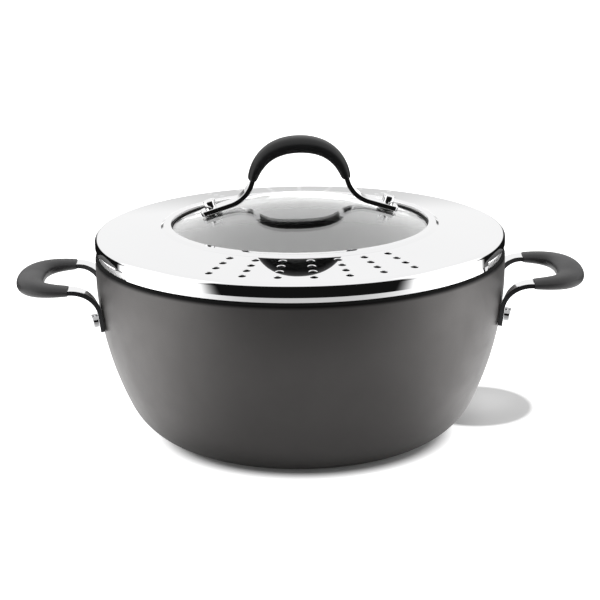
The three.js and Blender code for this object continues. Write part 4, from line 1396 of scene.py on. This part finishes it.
class CASSEROLE_OT_lid_fixings(bpy.types.Operator):
    """Set the lid handle's bolts, with their pads, washers and nuts"""
    bl_idname = "casserole.lid_fixings"
    bl_label = "Lid fixings"

    def execute(self, context):
        sizes = context.scene.casserole
        arch, lid = sizes.arch, sizes.lid
        form = LidForm(sizes.pot, lid)
        gap = lid.seat_gap
        pad_top = gap + arch.pad_thickness
        head_seat = under_strap(form, arch) + sizes.strap.thickness
        head_top = head_seat + gap + arch.bolt_height
        washer_top = -lid.glass_thickness - gap
        nut_top = washer_top - arch.washer_thickness - gap
        end = nut_top - arch.nut_height - arch.bolt_end
        shank, head = arch.bolt_shank / 2, arch.bolt_head / 2
        bore = shank + gap
        chamfer = arch.bolt_edge / 2
        edge = (head - arch.bolt_edge, head_top - arch.bolt_edge)
        bolt = [
            (0, end), (shank - chamfer, end), (shank, end + chamfer), (shank, head_seat), (head, head_seat),
            *arc(edge, arch.bolt_edge, 0, math.pi / 2, ARC_STEPS), (0, head_top),
        ]
        pad = washer_mesh(bore, arch.pad / 2, gap, pad_top)
        washer = washer_mesh(bore, arch.washer / 2, washer_top - arch.washer_thickness, washer_top)
        fixings = [
            ("dome_bolts", turned("bolt", bolt, SMALL_SIDES), "mirror_steel", "polished_steel", "lid_bolt"),
            ("dome_pads", pad, "seal_rubber", "seal_silicone", "foot_pad"),
            ("dome_washers", washer, "seal_rubber", "seal_silicone", "inner_washer"),
            ("dome_nuts", nut_mesh(arch, bore, nut_top), "mirror_steel", "polished_steel", "flange_nut"),
        ]
        bolt_radius = arch.bolt_spacing / 2
        tree = fixings_tree()
        for name, mesh, finish, slot, node in fixings:
            pair = grown(mesh, tree, {
                "Per Side": 1,
                "Half Angle": 0.0,
                "Turn": lid.turn,
                "Radius": bolt_radius,
                "Height": form.glass_top(bolt_radius),
                "Tilt": form.glass_lean(bolt_radius),
                "Material": material(finish),
            })
            piece(name, shaded(pair), [], "lid", [f"{side}_{node}" for side, _ in HANDLES])
        return {"FINISHED"}


# Stage

ROOM_BLUR = 0.03  # soft top of the dark room, as a share of the height of the sky
BOX_BLUR = 0.04  # the same for the soft boxes and the dark flanks
SKY_BLUR = math.radians(5)  # soft sides of the zones in the surround
FLOOR_BLUR = math.radians(6)  # soft sides of the zones on the floor
SIDE_BLUR_SHARE = 0.6  # sharper where the soft boxes end
BACK_BLUR_SHARE = 1.5  # softer where the back wall starts
LEAST_REACH = 0.0001  # keeps the zones finite under the pot's middle
TABLE_BLUR = 0.06  # soft edge of the table
FRONT_TURN = (0.05, 0.98)  # the table's painted shade deepens towards the front between these cosines of the bearing
SHADOW_FADE = (0.86, 1.08)  # the handle's shadow fades out between these shares of its size
CONTACT_FADE = 0.022  # width over which the contact shadow fades out
SHADOW_LIFT = 0.045  # light that the shadows keep
SHINE_FROM = (0.085, 0.16)  # reflections see the table light up between these distances from the middle
TABLE_OWN = 0.6  # brightness that the lit table has without its glow
FLOOR_RADIUS = 12.0
KEY_SIZE = 0.5  # lamp that casts the shadow: its diameter
KEY_DISTANCE = 1.9
KEY_DIRECTION = (0.27, -0.42, 0.95)
SENSOR_WIDTH = 36.0  # of the camera, in millimetres
NEAREST_SEEN = 0.05  # the camera sees nothing nearer than this

Zones = namedtuple("Zones", "front side flank reach facing")


def studio_zones(parts, stage, side_end, soft):
    """Shares of the dark room in front, the soft boxes and the dark flanks in a direction round the pot.

    Also gives the reach from the middle, and facing, the cosine of the bearing from the front.
    """
    across, along = parts["X"], parts["Y"]
    reach = maths("SQRT", across * across + along * along)
    safe_reach = maths("MAXIMUM", reach, LEAST_REACH)
    straight = along * -1.0 / safe_reach
    facing = (across * stage.skew - along) / safe_reach

    def before(cosine, bearing, blur):
        """1 for bearings nearer the front than this one."""
        return smooth_step(cosine, math.cos(bearing + blur), math.cos(bearing - blur))

    front = before(facing, stage.dark_half, soft)
    to_side_end = before(straight, side_end, soft * SIDE_BLUR_SHARE)
    flank = before(straight, stage.back_start, soft * BACK_BLUR_SHARE) - to_side_end
    return Zones(front, to_side_end - front, flank, reach, facing)


def studio_world(stage):
    """Surround that the camera sees white; reflections and light see a dark room and soft boxes in it."""
    world = bpy.data.worlds.new("studio")
    world.use_nodes = True
    tree = world.node_tree
    tree.nodes.clear()
    direction = add_node(tree, "ShaderNodeTexCoord")["Generated"]
    parts = add_node(tree, "ShaderNodeSeparateXYZ", {0: direction})
    up = parts["Z"]

    def under(rise):
        """1 below an angle above the level."""
        return smooth_step(up, math.sin(rise) + BOX_BLUR, math.sin(rise) - BOX_BLUR)

    zones = studio_zones(parts, stage, stage.side_end, SKY_BLUR)
    full = smooth_step(up, 0.0, math.sin(stage.horizon_rise))
    around = full * (stage.surround - stage.horizon) + stage.horizon
    over_room = up + parts["Y"] * math.tan(stage.dark_rise)
    in_room = zones.front * smooth_step(over_room, ROOM_BLUR, -ROOM_BLUR)
    in_flank = zones.flank * under(stage.flank_rise)
    darkened = (in_room + in_flank) * (stage.dark - around)
    boxes = zones.side * under(stage.side_rise) * (stage.side_light - stage.surround)
    level = around + (darkened + boxes)
    seen = add_node(tree, "ShaderNodeLightPath")["Is Camera Ray"]
    sky = add_node(tree, "ShaderNodeBackground", {
        "Color": (1, 1, 1, 1), "Strength": level * (1.0 - seen) + seen})
    sky.into(tree.nodes.new("ShaderNodeOutputWorld").inputs["Surface"])
    return world


def studio_floor(stage, tone):
    """Pale floor: the camera sees it white outside the kept shadows.

    Reflections see a bright table beside the pot and a dark floor beyond it; all but the camera see the table
    in front darker, a painted shade of the pot.
    """
    made, shader, place = new_material("studio_floor")
    tree = made.node_tree
    path = add_node(tree, "ShaderNodeLightPath")
    seen = path["Is Camera Ray"]
    unseen = 1.0 - seen
    zones = studio_zones(add_node(tree, "ShaderNodeSeparateXYZ", {0: place}), stage, stage.flank_floor,
                         FLOOR_BLUR)
    table_edge = (stage.table - TABLE_BLUR, stage.table + TABLE_BLUR)
    ahead = zones.front * smooth_step(zones.facing * zones.reach, *table_edge)
    behind = zones.flank * smooth_step(zones.reach, *table_edge)
    dark = (ahead + behind) * unseen
    toward = smooth_step(zones.facing, *FRONT_TURN)
    # Painted shade: all but the camera see the table in front darker, as in the pot's shade
    dark_floor_and_painted_shade = maths("MAXIMUM", dark * (1 - stage.dark), toward * unseen * stage.front_loss)
    vector_maths("MULTIPLY", tuple(tone), 1.0 - dark_floor_and_painted_shade).into(shader.inputs["Base Color"])

    scale = (1 / stage.shadow_wide, 1 / stage.shadow_deep, 1)
    middle = (stage.shadow_across / stage.shadow_wide, stage.shadow_along / stage.shadow_deep, 0)
    from_shadow = vector_maths("DISTANCE", vector_maths("MULTIPLY", place, scale), middle)["Value"]
    off_shadow = smooth_step(from_shadow, *SHADOW_FADE)
    from_pot = vector_maths("DISTANCE", place, (stage.contact_across, 0, 0))["Value"]
    off_contact = smooth_step(from_pot, stage.contact, stage.contact + CONTACT_FADE)
    white = maths("MAXIMUM", maths("MINIMUM", off_shadow, off_contact), SHADOW_LIFT) * seen
    mirrored = maths("MAXIMUM", path["Is Glossy Ray"], path["Is Transmission Ray"])
    aside = (1.0 - toward) * smooth_step(zones.reach, *SHINE_FROM)
    shine = aside * (stage.side_floor - TABLE_OWN) * mirrored
    ((white + shine) * (1.0 - dark)).into(shader.inputs["Emission Strength"])
    set_values(shader, {"Roughness": 1.0, "Specular IOR Level": 0.0, "Emission Color": (1, 1, 1, 1)})
    return made


class CASSEROLE_OT_stage(bpy.types.Operator):
    """Lay the floor, light the studio and set the camera"""
    bl_idname = "casserole.stage"
    bl_label = "Stage"

    def execute(self, context):
        scene = context.scene
        stage = scene.casserole.stage
        floor_mesh = turned("studio_floor", [(FLOOR_RADIUS, 0.0), (0.0, 0.0)], SMALL_SIDES)
        floor_mesh.materials.append(studio_floor(stage, scene.casserole.finish.floor))
        new_object("studio_floor", floor_mesh)
        scene.world = studio_world(stage)
        self.add_key(scene, stage)
        self.add_camera(scene, stage)
        scene.view_settings.view_transform = "Standard"
        return {"FINISHED"}

    def add_key(self, scene, stage):
        """Soft lamp above, a little to the front and right, for the shadow."""
        lamp = bpy.data.lights.new("key", "AREA")
        lamp.shape = "DISK"
        lamp.size = KEY_SIZE
        lamp.energy = stage.key_power
        key = bpy.data.objects.new("key", lamp)
        towards = Vector(KEY_DIRECTION).normalized()
        key.location = towards * KEY_DISTANCE
        key.rotation_mode = "QUATERNION"
        key.rotation_quaternion = towards.to_track_quat("Z", "Y")
        key.visible_glossy = False
        scene.collection.objects.link(key)

    def add_camera(self, scene, stage):
        """Camera at the picture's viewing angle."""
        lens = bpy.data.cameras.new("camera")
        lens.sensor_width = SENSOR_WIDTH
        lens.lens = stage.focal_length
        lens.clip_start = NEAREST_SEEN
        camera = bpy.data.objects.new("camera", lens)
        turn = Matrix.Rotation(stage.bearing, 3, "Z")
        forward = turn @ Vector((0, math.cos(stage.elevation), -math.sin(stage.elevation)))
        right = turn @ Vector((1, 0, 0))
        up = right.cross(forward)
        cosine, sine = math.cos(stage.roll), math.sin(stage.roll)
        axes = (right * cosine - up * sine, right * sine + up * cosine, -forward)
        target = turn @ Vector((stage.look_across, 0, stage.look_height))
        rotation = Matrix(axes).transposed().to_4x4()
        camera.matrix_world = Matrix.Translation(target - forward * stage.distance) @ rotation
        scene.collection.objects.link(camera)
        scene.camera = camera


OPERATORS = (
    CASSEROLE_OT_stage,
    CASSEROLE_OT_pot_shell,
    CASSEROLE_OT_side_straps,
    CASSEROLE_OT_side_grips,
    CASSEROLE_OT_side_rivets,
    CASSEROLE_OT_lid_ring,
    CASSEROLE_OT_lid_glass,
    CASSEROLE_OT_lid_handle,
    CASSEROLE_OT_lid_fixings,
)


class CASSEROLE_PT_build(bpy.types.Panel):
    """Buttons that build the casserole, and the sizes and colours that they read"""
    bl_idname = "CASSEROLE_PT_build"
    bl_label = "Casserole"
    bl_space_type = "VIEW_3D"
    bl_region_type = "UI"
    bl_category = "Casserole"

    def draw(self, context):
        for operator in OPERATORS:
            self.layout.operator(operator.bl_idname)
        settings = context.scene.casserole
        for group in settings.bl_rna.properties:
            if group.type != "POINTER" or group.identifier == "rna_type":
                continue
            box = self.layout.box()
            box.label(text=group.identifier.capitalize())
            sizes = getattr(settings, group.identifier)
            for size in sizes.bl_rna.properties:
                if size.identifier not in ("name", "rna_type"):
                    box.prop(sizes, size.identifier)


CLASSES = (
    PotSizes,
    StrapSizes,
    SideHandleSizes,
    LidSizes,
    LidHandleSizes,
    Finishes,
    StageSettings,
    CasseroleSettings,
    *OPERATORS,
    CASSEROLE_PT_build,
)


def register():
    for cls in CLASSES:
        bpy.utils.register_class(cls)
    bpy.types.Scene.casserole = PointerProperty(type=CasseroleSettings)


def unregister():
    del bpy.types.Scene.casserole
    for cls in reversed(CLASSES):
        bpy.utils.unregister_class(cls)


def main():
    """Build the casserole and its stage."""
    register()
    for operator in OPERATORS:
        group, name = operator.bl_idname.split(".")
        getattr(getattr(bpy.ops, group), name)()


if __name__ == "__main__":
    main()
